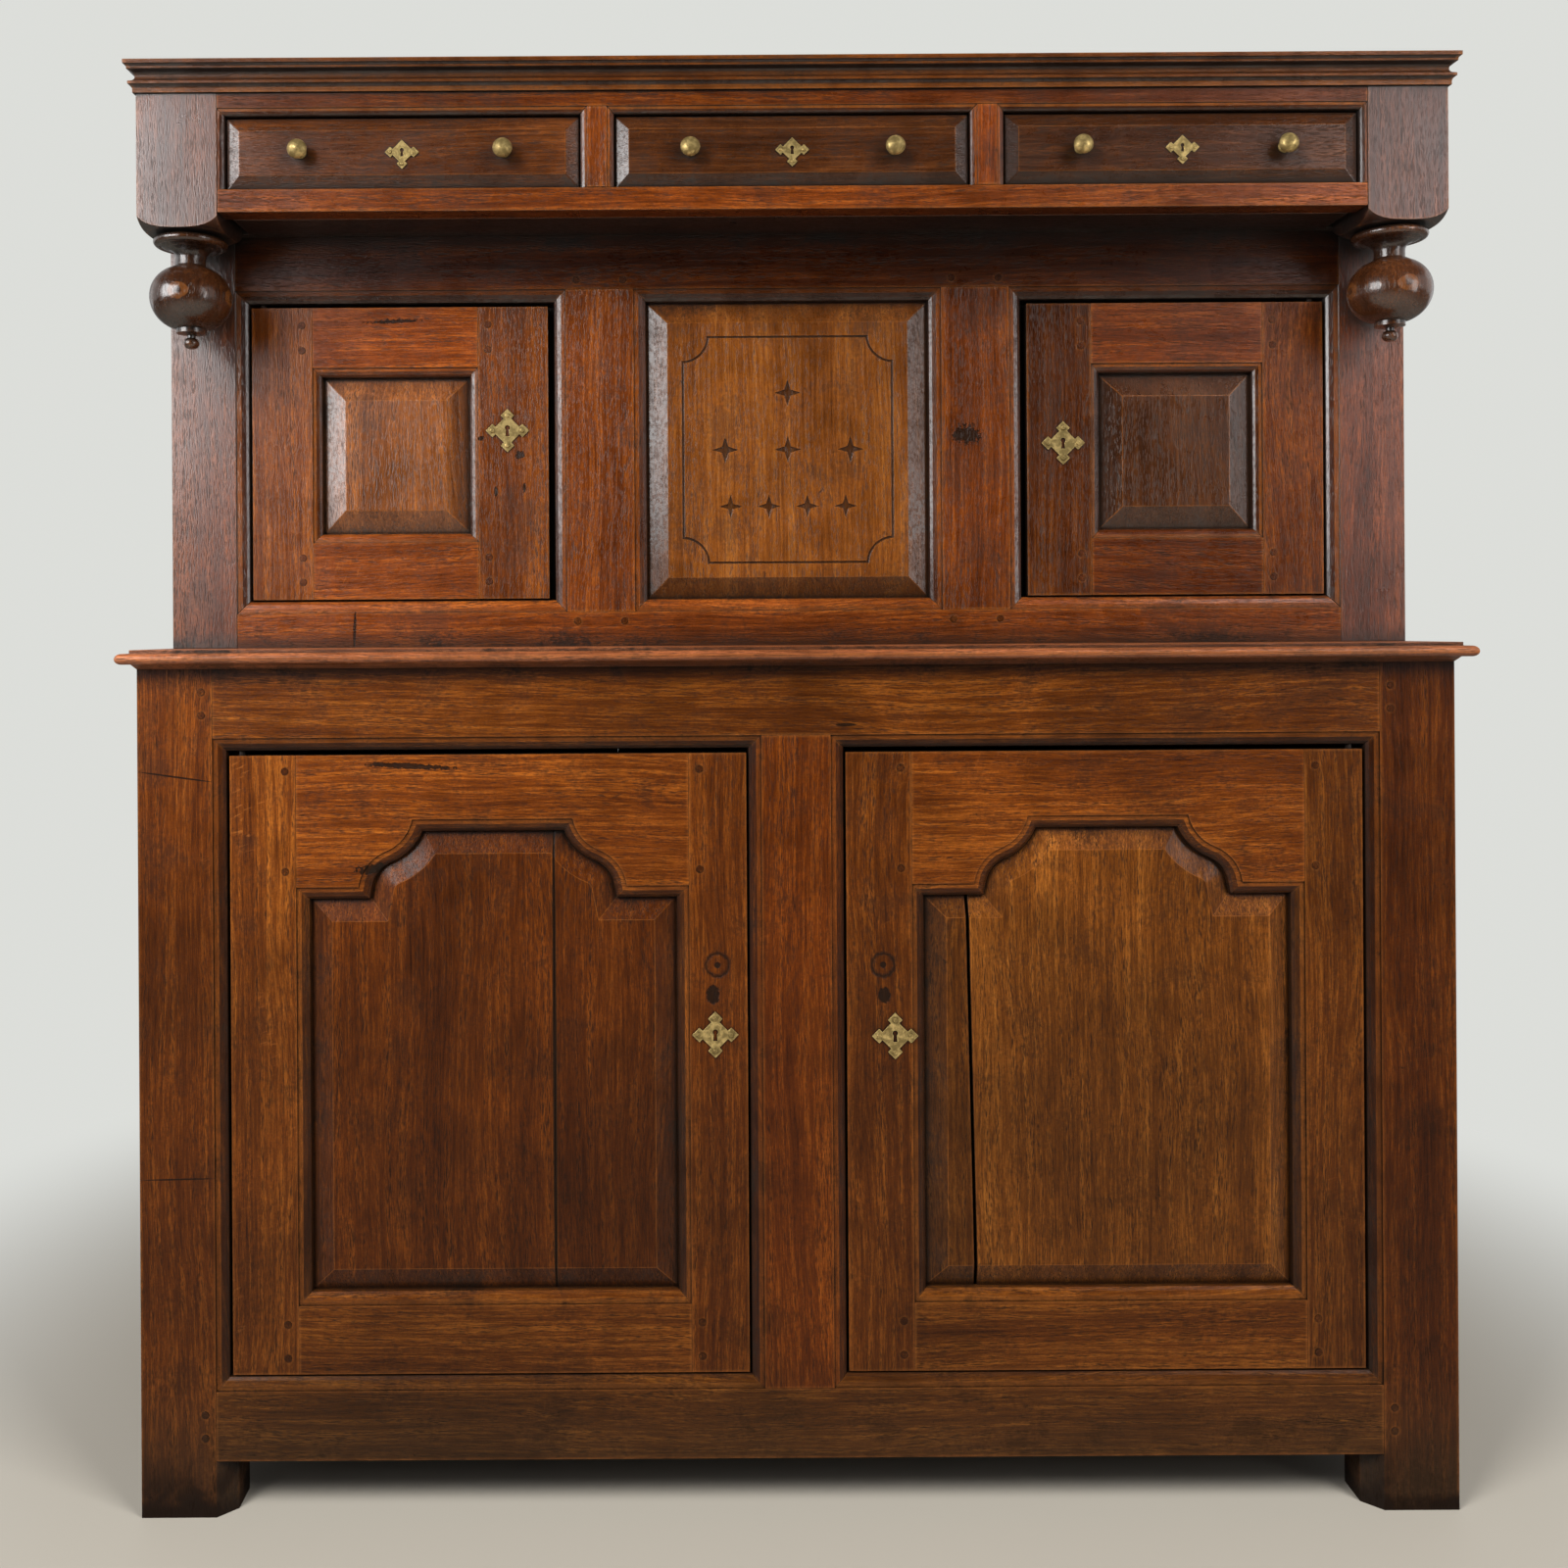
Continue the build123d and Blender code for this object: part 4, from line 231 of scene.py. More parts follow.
    def cells(self, place: Socket) -> Socket:
        """Returns the distance to the nearest of many random points, one in each unit of place."""
        made = self.node("ShaderNodeTexVoronoi")
        self.feed_all(made.inputs, {"Vector": place, "Scale": 1.0})
        return made.outputs["Distance"]

    def openness(self, reach: float, inside: bool = False) -> Socket:
        """Looks for surfaces near a point.

        Args:
            reach: How far to look, in metres.
            inside: Whether to look into the piece, which finds its edges, instead of out of it, which
                finds corners.

        Returns:
            1 where nothing is near, less where something is.
        """
        made = self.node("ShaderNodeAmbientOcclusion", samples=NEARBY_RAYS, inside=inside, only_local=inside)
        self.feed(made.inputs["Distance"], reach)
        return made.outputs["AO"]

    def attribute(self, name: str) -> Socket:
        """Returns a vector that every vertex carries under a name."""
        return self.node("ShaderNodeAttribute", attribute_name=name).outputs["Vector"]

    def bump(self, height: Socket, depth: float) -> Socket:
        """Returns the normals of a relief, which is depth metres deep."""
        made = self.node("ShaderNodeBump")
        self.feed_all(made.inputs, {"Height": height, "Distance": depth})
        return made.outputs[0]

    def group(self, tree: bpy.types.NodeTree, inputs: dict[str, object]) -> bpy.types.NodeOutputs:
        """Places a shared group, feeds its inputs by name and returns its outputs."""
        made = self.node("ShaderNodeGroup", node_tree=tree)
        self.feed_all(made.inputs, inputs)
        return made.outputs

    def either(self, factor: Socket, first: Socket, second: Socket) -> Socket:
        """Returns two shaders mixed by a factor."""
        made = self.node("ShaderNodeMixShader")
        for socket, value in zip(made.inputs, (factor, first, second)):
            self.feed(socket, value)
        return made.outputs[0]


class Surface(Graph):
    """The graph of one new material, with a shader wired to its surface.

    Attributes:
        material: The material.
        shader: Its own shader.
        result: Where its surface's shader goes in.
    """

    def __init__(self, name: str) -> None:
        """Starts the material."""
        self.material = bpy.data.materials.new(name)
        self.material.use_nodes = True
        super().__init__(self.material.node_tree)
        self.shader = self.node("ShaderNodeBsdfPrincipled")
        self.result = self.node("ShaderNodeOutputMaterial").inputs["Surface"]
        self.feed(self.result, self.shader.outputs[0])


class EffectGroup:
    """A shader node group that many materials share.

    Attributes:
        name: The group's name.
        inputs: Each input's name, and whether it is a Float, a Vector or a Color.
        outputs: The same for each output.
    """

    name: str
    inputs: dict[str, str]
    outputs: dict[str, str]

    def __init__(self) -> None:
        """Makes the group's sockets and draws what is between them."""
        self.tree = bpy.data.node_groups.new(self.name, "ShaderNodeTree")
        for direction, sockets in (("INPUT", self.inputs), ("OUTPUT", self.outputs)):
            for socket, kind in sockets.items():
                self.tree.interface.new_socket(name=socket, in_out=direction, socket_type="NodeSocket" + kind)
        self.graph = Graph(self.tree)
        self.given = self.graph.node("NodeGroupInput").outputs
        self.out = self.graph.node("NodeGroupOutput").inputs
        self.draw()

    def draw(self) -> None:
        """Wires what is given to what goes out."""
        raise NotImplementedError


@dataclass(frozen=True)
class GrainLayer:
    """Noise that is drawn out along the grain.

    Attributes:
        along: Its cycles per metre along the grain.
        across: Its cycles per metre across the grain.
        detail: How many finer octaves it carries.
        rough: How strong those are.
        share: Its share of the wood's figure.
        bend: How far it is bent out of line.
    """

    along: float
    across: float
    detail: float = 2.0
    rough: float = 0.5
    share: float = 0.0
    bend: float = 0.0


class OakGrain(EffectGroup):
    """Draws oak on board coordinates, which run along, across and through the board."""

    name = "Oak grain"
    inputs = {"Board": "Vector", "Figure": "Float", "Pores": "Float", "Flecks": "Float"}
    outputs = {"Tone": "Float", "Pore mask": "Float", "Fleck mask": "Float", "Relief": "Float"}

    WANDER = GrainLayer(1.6, 5.0)
    WANDER_REACH = 0.055

    BROAD_BANDS = GrainLayer(1.1, 26.0, 3.0, 0.55, share=0.20)
    RINGS = GrainLayer(3.2, 150.0, 3.0, 0.6, share=0.20)
    STREAKS = GrainLayer(13.0, 360.0, 3.0, 0.66, share=0.28)
    FIBRES = GrainLayer(48.0, 900.0, 4.0, 0.72, share=0.22)
    GRIT = GrainLayer(420.0, 900.0, 2.0, 0.6, share=0.10)

    POROUS_RINGS = Step(0.42, 0.62)
    SHORT_PORES = GrainLayer(95.0, 820.0)
    SHORT_PORE = Step(0.15, 0.50, 1.0, 0.0)
    LONG_PORES = GrainLayer(42.0, 430.0)
    LONG_PORE = Step(0.14, 0.42, 1.0, 0.0)
    PORES_BETWEEN_RINGS = 0.40

    RAY_SLANT = math.radians(18)
    RAYS = GrainLayer(330.0, 58.0, bend=0.35)
    RAY = Step(0.60, 0.70)
    FLECKED_PATCHES = GrainLayer(5.0, 22.0)
    FLECKED = Step(0.46, 0.62)

    RING_RELIEF = 0.25
    FIBRE_RELIEF = 0.12

    def draw(self) -> None:
        """Draws the figure, the pores and the ray flecks, and the relief that they leave."""
        graph, grown = self.graph, self.wandering()
        rings, fibres = self.layer(grown, self.RINGS), self.layer(grown, self.FIBRES)
        figure = graph.layered(
            0.0,
            (self.layer(grown, self.BROAD_BANDS), self.BROAD_BANDS.share),
            (rings, self.RINGS.share),
            (self.layer(grown, self.STREAKS), self.STREAKS.share),
            (fibres, self.FIBRES.share),
            (self.layer(grown, self.GRIT), self.GRIT.share),
        )
        contrast = graph.times(graph.centred(figure), self.given["Figure"])
        pores = self.pores(grown, rings)
        relief = graph.minus(graph.times(rings, self.RING_RELIEF), pores)
        graph.feed_all(self.out, {
            "Tone": graph.plus(contrast, NOISE_MIDDLE, clamp=True),
            "Pore mask": pores,
            "Fleck mask": self.flecks(grown),
            "Relief": graph.layered(relief, (fibres, self.FIBRE_RELIEF)),
        })

    def drawn_out(self, place: Socket, layer: GrainLayer) -> Socket:
        """Returns a place on the board in a layer's own cycles."""
        return self.graph.vector("MULTIPLY", place, (layer.along, layer.across, layer.across))

    def layer(self, place: Socket, layer: GrainLayer) -> Socket:
        """Returns the noise of a layer."""
        noise = Noise(1.0, layer.detail, layer.rough, layer.bend)
        return self.graph.noise(self.drawn_out(place, layer), noise)

    def wandering(self) -> Socket:
        """Returns the board's coordinates with the grain wandering a little sideways."""
        graph, board = self.graph, self.given["Board"]
        bow = graph.times(graph.centred(self.layer(board, self.WANDER)), self.WANDER_REACH)
        sideways = graph.node("ShaderNodeCombineXYZ", "grain wanders sideways")
        graph.feed_all(sideways.inputs, {"Y": bow, "Z": bow})
        return graph.vector("ADD", board, sideways.outputs[0])

    def pores(self, grown: Socket, rings: Socket) -> Socket:
        """Draws the open pores.

        Args:
            grown: Where the point lies in the grain.
            rings: How far it is from the open early wood of a ring.

        Returns:
            1 in a pore, 0 outside.
        """
        graph, porous = self.graph, self.graph.step(rings, self.POROUS_RINGS)
        short = graph.step(graph.cells(self.drawn_out(grown, self.SHORT_PORES)), self.SHORT_PORE)
        long = graph.step(graph.cells(self.drawn_out(grown, self.LONG_PORES)), self.LONG_PORE)
        crowd = graph.layered(self.PORES_BETWEEN_RINGS, (porous, 1.0 - self.PORES_BETWEEN_RINGS))
        both = graph.math("MAXIMUM", graph.times(short, crowd), graph.times(long, porous))
        return graph.times(both, self.given["Pores"], clamp=True)

    def flecks(self, grown: Socket) -> Socket:
        """Returns 1 in a ray fleck, which crosses the grain on a slant and comes in patches."""
        graph = self.graph
        slant = graph.node("ShaderNodeMapping", "rays cross the grain on a slant")
        graph.feed_all(slant.inputs, {"Vector": grown, "Rotation": (0.0, 0.0, self.RAY_SLANT)})
        rays = graph.step(self.layer(slant.outputs[0], self.RAYS), self.RAY)
        patches = graph.step(self.layer(self.given["Board"], self.FLECKED_PATCHES), self.FLECKED)
        return graph.times(rays, patches, self.given["Flecks"], clamp=True)


class Patina(EffectGroup):
    """Ages a surface: stains, spots and soaked feet, painted shade in its corners and on mouldings that
    face sideways or down, painted light on mouldings that face up, edges bared by handling with a painted
    highlight on the rounded arrises, uneven old wax, the dust of the floor, and painted shade that deepens
    towards it."""

    name = "Patina"
    inputs = {
        "Colour": "Color", "Place": "Vector", "Facing": "Vector", "Openness": "Float", "Edge": "Float",
        "Pore mask": "Float", "Grime": "Float", "Moulding grime": "Float", "Moulding wax": "Float",
        "Wear": "Float", "Grime colour": "Color", "Worn colour": "Color", "Sheen": "Float",
    }
    outputs = {
        "Colour": "Color", "Roughness": "Float", "Relief": "Float", "Wax": "Float", "Squareness": "Float",
    }

    CLOUDS = Noise(3.1, 3.0, 0.55, 0.4)
    MOTTLES = Noise(17.0, 4.0, 0.62, 0.3)
    SPECKS = Noise(240.0, 2.0, 0.6)
    SPOTS = Noise(95.0, 3.0, 0.7)
    WAVES = Noise(11.0)

    CLOUD_SHADE = Step(0.30, 0.72, 0.66, 1.24)
    MOTTLE_SHADE = Step(0.28, 0.72, 0.74, 1.20)
    SLOPED = Step(0.955, 0.985, 1.0, 0.0)
    # Painted shade on sloped faces that look level or down, and painted light on those that look up.
    SHADE_BY_FACING = Step(0.02, 0.30, 1.0, -0.25)
    MOULDING_SHADE_DEPTH = 0.75
    WAX_PATCHES = Step(0.32, 0.66, 0.30, 1.0)
    WAX_SPECKS = Step(0.38, 0.58, 0.35, 1.0)

    # Painted shade in corners and creases, where nearby surfaces close in.
    CORNER_SHADE_STEP = Step(0.45, 0.97, 1.0, 0.0)
    STAINED = Step(0.66, 0.86)
    SPECKS_IN_STAINS = 0.35
    SPOTTED = Step(0.68, 0.74)
    CORNER_DIRT, STAIN_DIRT, SPOT_DIRT = 1.3, 0.45, 0.45

    # Painted shade that deepens towards the floor.
    SHADE_TOWARDS_FLOOR = Step(0.10, 0.85, 0.68, 1.0, Ease.STRAIGHT)
    SOAKED_PATCHES = Step(0.62, 0.38)
    SOAKED_HEIGHT = Step(0.01, 0.10, 1.0, 0.0)
    DUST_HEIGHT = Step(0.0, 0.20, 0.80, 0.0)
    SCUFFS = Step(0.30, 0.75, 0.55, 1.0)
    DUST_COLOUR = (0.031, 0.018, 0.008)

    # A painted highlight along the rounded arrises.
    ARRIS_BEGINS = Step(0.961, 0.970)
    ARRIS_ENDS = Step(0.990, 0.998, 1.0, 0.0)
    THIN = Step(0.55, 0.97, 1.0, 0.0)
    PROUD = Step(0.72, 0.95)
    RAGGED = Step(0.34, 0.60)
    RAGGED_BARENESS_AND_HIGHLIGHT = Step(0.0, 1.0, 0.35, 1.0, Ease.STRAIGHT)

    PORE_DARKNESS = 0.86
    MOTTLE_ROUGH, DIRT_ROUGH, DUST_ROUGH, PORE_ROUGH, RUBBED_SMOOTH = 0.20, 0.22, 0.35, 0.30, 0.10
    MOTTLE_RELIEF = 0.35

    def draw(self) -> None:
        """Draws each kind of age, the painted shade and the painted highlights, then the colour,
        the roughness and the relief of them all.
        """
        graph, place = self.graph, self.given["Place"]
        self.mottled = graph.noise(place, self.MOTTLES)
        self.specks = graph.noise(place, self.SPECKS)
        self.height = graph.split(place, "height above the floor")["Z"]
        squarely = self.squareness()
        sloped = graph.step(squarely, self.SLOPED)
        patches = graph.step(self.mottled, self.WAX_PATCHES)
        waxed = graph.times(sloped, patches, graph.step(self.specks, self.WAX_SPECKS))
        # Grime with painted corner shade, dust, and bared edges with a painted highlight.
        dirt_and_shade, dust, bared_and_highlight = self.dirt_and_shade(), self.dust(), self.bared_and_highlight(squarely)
        graph.feed_all(self.out, {
            "Colour": self.colour(self.shade(sloped), dirt_and_shade, dust, bared_and_highlight),
            "Roughness": self.roughness(dirt_and_shade, dust, bared_and_highlight),
            "Relief": graph.layered(graph.noise(place, self.WAVES), (self.mottled, self.MOTTLE_RELIEF)),
            "Wax": graph.times(waxed, self.given["Moulding wax"]),
            "Squareness": squarely,
        })

    def squareness(self) -> Socket:
        """Returns 1 where the surface faces straight along X, Y or Z, and less on bevels and mouldings."""
        graph = self.graph
        sides = graph.split(graph.vector("ABSOLUTE", self.given["Facing"]), "how squarely the face stands")
        return graph.math("MAXIMUM", graph.math("MAXIMUM", sides["X"], sides["Y"]), sides["Z"])

    def shade(self, sloped: Socket) -> Socket:
        """Returns how light the wood is under its old wax, with painted shade on mouldings and bevels
        that face sideways or down, painted light on those that face up, and painted shade towards the floor.
        """
        graph = self.graph
        clouds = graph.step(graph.noise(self.given["Place"], self.CLOUDS), self.CLOUD_SHADE)
        facing = graph.split(self.given["Facing"], "which way the face looks")
        # Painted shade on slopes that look level or down, painted light on those that look up.
        shade_by_facing = graph.step(facing["Z"], self.SHADE_BY_FACING)
        moulding_shade = graph.times(sloped, shade_by_facing, self.given["Moulding grime"])
        clean = graph.minus(1.0, graph.times(moulding_shade, self.MOULDING_SHADE_DEPTH))
        # Painted shade, darker towards the floor.
        shade_towards_floor = graph.step(self.height, self.SHADE_TOWARDS_FLOOR)
        return graph.times(clouds, graph.step(self.mottled, self.MOTTLE_SHADE), clean, shade_towards_floor)

    def dirt_and_shade(self) -> Socket:
        """Returns painted shade in corners and creases, and grime in stains, spots and soaked feet."""
        # The finish's amount of grime and of painted corner shade.
        graph, grime = self.graph, self.given["Grime"]
        # Painted shade in corners and creases, where nearby surfaces close in.
        corner_shade = graph.step(self.given["Openness"], self.CORNER_SHADE_STEP)
        stained = graph.step(graph.layered(self.mottled, (self.specks, self.SPECKS_IN_STAINS)), self.STAINED)
        spots = graph.step(graph.noise(self.given["Place"], self.SPOTS), self.SPOTTED)
        dirt_and_shade = graph.layered(
            0.0, (corner_shade, self.CORNER_DIRT), (stained, self.STAIN_DIRT), (spots, self.SPOT_DIRT))
        soaked = graph.times(
            graph.step(self.mottled, self.SOAKED_PATCHES), graph.step(self.height, self.SOAKED_HEIGHT), grime)
        return graph.plus(graph.times(dirt_and_shade, grime, clamp=True), soaked, clamp=True)

    def dust(self) -> Socket:
        """Returns how much dust and how many scuffs the floor has left."""
        graph = self.graph
        near_floor, scuffs = graph.step(self.height, self.DUST_HEIGHT), graph.step(self.mottled, self.SCUFFS)
        return graph.times(near_floor, scuffs, self.given["Grime"], clamp=True)

    def bared_and_highlight(self, squarely: Socket) -> Socket:
        """Returns how far edges that stand proud are bared by handling, and the painted highlight on the
        rounded arrises.
        """
        graph = self.graph
        # A painted highlight along the rounded arrises.
        arris_highlight = graph.times(graph.step(squarely, self.ARRIS_BEGINS), graph.step(squarely, self.ARRIS_ENDS))
        edge = graph.times(
            graph.step(self.given["Edge"], self.THIN), graph.step(self.given["Openness"], self.PROUD))
        ragged = graph.step(graph.step(self.mottled, self.RAGGED), self.RAGGED_BARENESS_AND_HIGHLIGHT)
        return graph.times(graph.math("MAXIMUM", edge, arris_highlight), ragged, self.given["Wear"], clamp=True)

    def colour(self, shade: Socket, dirt_and_shade: Socket, dust: Socket, bared_and_highlight: Socket) -> Socket:
        """Returns the wood's colour under pores, dust, bared edges with a painted highlight, and grime with
        painted shade in the corners, each laid over the last.
        """
        graph, given = self.graph, self.given
        colour = graph.scaled(given["Colour"], shade)
        pores = graph.times(given["Pore mask"], self.PORE_DARKNESS)
        colour = graph.blend(pores, colour, given["Grime colour"])
        colour = graph.blend(dust, colour, self.DUST_COLOUR)
        # Bared edges, and the painted highlight on the arrises.
        colour = graph.blend(bared_and_highlight, colour, given["Worn colour"])
        # Grime, and the painted shade in the corners.
        return graph.blend(dirt_and_shade, colour, given["Grime colour"])

    def roughness(self, dirt_and_shade: Socket, dust: Socket, bared_and_highlight: Socket) -> Socket:
        """Returns how rough the wax is; handling has smoothed the rubbed edges."""
        graph = self.graph
        rough = graph.layered(
            self.given["Sheen"], (graph.centred(self.mottled), self.MOTTLE_ROUGH), (dirt_and_shade, self.DIRT_ROUGH),
            (dust, self.DUST_ROUGH), (self.given["Pore mask"], self.PORE_ROUGH))
        return graph.minus(rough, graph.times(bared_and_highlight, self.RUBBED_SMOOTH), clamp=True)


class ScarMask(EffectGroup):
    """Marks one ragged oval on the front, such as a crack, a gouge or a stain."""

    name = "Scar"
    inputs = {
        "Place": "Vector", "Centre": "Vector", "Turn": "Float", "Half length": "Float", "Half width": "Float",
        "Ragged": "Float", "Hollow": "Float",
    }
    outputs = {"Mask": "Float"}

    OUTLINE = Noise(260.0, 3.0, 0.6)
    INSIDE = Step(0.75, 1.0, 1.0, 0.0)
    MIDDLE = Step(0.55, 0.80, 1.0, 0.0)

    def draw(self) -> None:
        """Draws the oval, and takes its middle out again where it is a ring."""
        graph, given = self.graph, self.given
        turned = graph.node("ShaderNodeVectorRotate", rotation_type="Y_AXIS")
        moved = graph.vector("SUBTRACT", given["Place"], given["Centre"])
        graph.feed_all(turned.inputs, {"Vector": moved, "Angle": given["Turn"]})
        parts = graph.split(turned.outputs[0], "along and across the scar")
        jagged = graph.times(graph.centred(graph.noise(given["Place"], self.OUTLINE)), given["Ragged"])
        along = graph.math("DIVIDE", parts["X"], given["Half length"])
        across = graph.math("DIVIDE", parts["Z"], given["Half width"])
        squared = graph.plus(graph.times(along, along), graph.times(across, across))
        reach = graph.plus(graph.math("POWER", squared, 0.5), jagged)
        hole = graph.times(graph.step(reach, self.MIDDLE), given["Hollow"])
        graph.feed(self.out["Mask"], graph.minus(graph.step(reach, self.INSIDE), hole, clamp=True))


class Tarnish(EffectGroup):
    """Tarnishes metal: dark film in hollows, bright rubbed tops, small pits."""

    name = "Tarnish"
    inputs = {
        "Place": "Vector", "Openness": "Float", "Edge": "Float", "Clean colour": "Color",
        "Film colour": "Color", "Film": "Float", "Polish": "Float",
    }
    outputs = {"Colour": "Color", "Roughness": "Float", "Relief": "Float"}

    BLOTCHES = Noise(130.0, 4.0, 0.6, 0.4)
    PITS = Noise(900.0, 2.0, 0.6)
    CORNERS = Step(0.30, 0.92, 1.0, 0.0)
    BLOTCHED = Step(0.30, 0.60, 0.25, 1.0)
    HANDLED = Step(0.50, 0.95)
    FILM_ROUGH, PIT_ROUGH = 0.32, 0.08
    PIT_RELIEF = 0.5

    def draw(self) -> None:
        """Draws the film, then the colour, the roughness and the relief."""
        graph, given = self.graph, self.given
        blotches, pits = graph.noise(given["Place"], self.BLOTCHES), graph.noise(given["Place"], self.PITS)
        corners = graph.step(given["Openness"], self.CORNERS)
        handled = graph.times(graph.step(given["Edge"], self.HANDLED), given["Film"])
        film = graph.times(graph.plus(graph.step(blotches, self.BLOTCHED), corners), handled, clamp=True)
        rough = graph.layered(given["Polish"], (film, self.FILM_ROUGH))
        graph.feed_all(self.out, {
            "Colour": graph.blend(film, given["Clean colour"], given["Film colour"]),
            "Roughness": graph.plus(rough, graph.times(pits, self.PIT_ROUGH), clamp=True),
            "Relief": graph.plus(graph.times(pits, self.PIT_RELIEF), blotches),
        })


class Groups:
    """The shared node groups, each built once."""

    def __init__(self) -> None:
        """Builds every group."""
        self.grain = OakGrain().tree
        self.patina = Patina().tree
        self.scar = ScarMask().tree
        self.tarnish = Tarnish().tree


# ---------------------------------------------------------------------------------------------------
# Finishes
# ---------------------------------------------------------------------------------------------------

CORNER_REACH = 0.026
EDGE_REACH = 0.0035
METAL_CORNER_REACH = 0.004
METAL_EDGE_REACH = 0.0007

YELLOWER = (0.90, 1.10, 1.35)
REDDER = (1.10, 0.90, 0.65)
FLECK_SHOW = 0.55
FLECKED_ENOUGH_TO_BARE_AND_HIGHLIGHT = Step(0.0, 0.08)
PATINA_RELIEF = 0.9
WAX_ROUGHNESS = 0.18

CUT_BEGINS, CUT_ENDS = 0.0001, 0.0006
CUT_IN_FLAT_FACE = Step(0.97, 0.99)
CUT_DARKNESS = 0.72
SCAR_DARKNESS = 0.93
SCAR_RELIEF = 3.0


@dataclass(frozen=True)
class Scar:
    """One old mark on the front of a piece.

    Attributes:
        x: Where its middle is, from side to side.
        z: How high its middle is.
        length: Its whole length.
        width: Its whole width.
        turn: How far its length is turned from level, in degrees.
        ragged: How uneven its outline is.
        hollow: 1 for a ring, 0 for a filled mark.
    """

    x: float
    z: float
    length: float
    width: float
    turn: float = 0.0
    ragged: float = 0.6
    hollow: float = 0.0


@dataclass(frozen=True)
class OakFinish:
    """Oak as one part of the cupboard shows it.

    Attributes:
        name: What the finish is called.
        dark: The colour of the darkest bands.
        middle: The colour of most of the wood.
        light: The colour of the palest bands.
        grime: The colour of grime, of the open pores and of the painted shade in the corners.
        worn: The colour of bared edges, of the painted highlight on the arrises, and of ray flecks.
        figure: How strongly the bands stand apart.
        pores: How dark the open pores are.
        flecks: How much ray fleck shows.
        dirt_and_shade: How much painted shade darkens the corners, and how much grime the wood carries.
        moulding: The painted shade on mouldings and bevels against the flats, and painted light on those
            facing up.
        moulding_wax: The clear coat that years of waxing have left on them.
        wear: How far the edges are bared, and how strong the painted highlight on the arrises is.
        sheen: The roughness of the wax.
        wax: The weight of the clear coat all over.
        polish: How strongly the wax reflects.
        depth: The height of the grain's relief, in metres.
        scars: Old marks on these pieces.
        cut_from: The plane, from front to back, behind which the cut lines are darkened; None without cuts.
    """

    name: str
    dark: Colour
    middle: Colour
    light: Colour
    grime: Colour = (0.008, 0.0035, 0.0015)
    worn: Colour = (0.27, 0.090, 0.018)
    figure: float = 3.9
    pores: float = 0.9
    flecks: float = 0.7
    dirt_and_shade: float = 1.0
    moulding: float = 0.8
    moulding_wax: float = 0.25
    wear: float = 0.42
    sheen: float = 0.36
    wax: float = 0.0
    polish: float = 0.16
    depth: float = 0.00028
    scars: tuple[Scar, ...] = ()
    cut_from: float | None = None

    def material(self, groups: Groups) -> bpy.types.Material:
        """Builds the material.

        Args:
            groups: The shared node groups.

        Returns:
            The finished material.
        """
        graph = Surface(self.name)
        coordinates = graph.node("ShaderNodeTexCoord").outputs
        place = coordinates["Object"]
        tone = graph.split(graph.attribute("tone"), "each board's own tone")
        grain = graph.group(groups.grain, {
            "Board": graph.attribute("board"), "Figure": self.figure, "Pores": self.pores,
            "Flecks": graph.times(tone["Z"], self.flecks),
        })
        aged = graph.group(groups.patina, {
            "Colour": self.clean_wood(graph, grain, tone), "Place": place, "Facing": coordinates["Normal"],
            "Openness": graph.openness(CORNER_REACH), "Edge": graph.openness(EDGE_REACH, inside=True),
            # Grime and painted corner shade, painted moulding shade, bared edges and painted highlights.
            "Pore mask": grain["Pore mask"], "Grime": self.dirt_and_shade, "Moulding grime": self.moulding,
            "Moulding wax": self.moulding_wax,
            "Wear": graph.times(graph.step(tone["Z"], FLECKED_ENOUGH_TO_BARE_AND_HIGHLIGHT), self.wear),
            "Grime colour": self.grime, "Worn colour": self.worn, "Sheen": self.sheen,
        })
        colour = aged["Colour"]
        relief = graph.layered(grain["Relief"], (aged["Relief"], PATINA_RELIEF))
        if self.cut_from is not None:
            # The cut lines are darkened wherever the surface lies behind the panel's face.
            colour = graph.blend(self.cuts(graph, place, aged["Squareness"]), colour, self.grime)
        if self.scars:
            marks = self.marks(graph, groups, place)
            colour = graph.blend(graph.times(marks, SCAR_DARKNESS), colour, self.grime)
            relief = graph.minus(relief, graph.times(marks, SCAR_RELIEF))
        graph.feed_all(graph.shader.inputs, {
            "Base Color": colour, "Roughness": aged["Roughness"],
            "Coat Weight": graph.plus(aged["Wax"], self.wax, clamp=True), "Coat Roughness": WAX_ROUGHNESS,
            "Specular IOR Level": self.polish, "Normal": graph.bump(relief, self.depth),
        })
        return graph.material

    def clean_wood(self, graph: Graph, grain: bpy.types.NodeOutputs, tone: bpy.types.NodeOutputs) -> Socket:
        """Colours the wood before it ages.

        Args:
            graph: The material's graph.
            grain: What the grain group puts out.
            tone: The board's own lightness and redness, as X and Y.

        Returns:
            The colour of its bands and flecks, in the board's own tone.
        """
        ramp = graph.node("ShaderNodeValToRGB", "bands of the wood")
        bands = ramp.color_ramp.elements
        bands[0].color = (*self.dark, 1.0)
        bands[1].color = (*self.light, 1.0)
        bands.new(NOISE_MIDDLE).color = (*self.middle, 1.0)
        graph.feed(ramp.inputs[0], grain["Tone"])
        flecks = graph.times(grain["Fleck mask"], FLECK_SHOW)
        wood = graph.blend(flecks, ramp.outputs["Color"], self.worn)
        wood = graph.vector("MULTIPLY", wood, graph.blend(tone["Y"], YELLOWER, REDDER))
        return graph.scaled(wood, tone["X"])

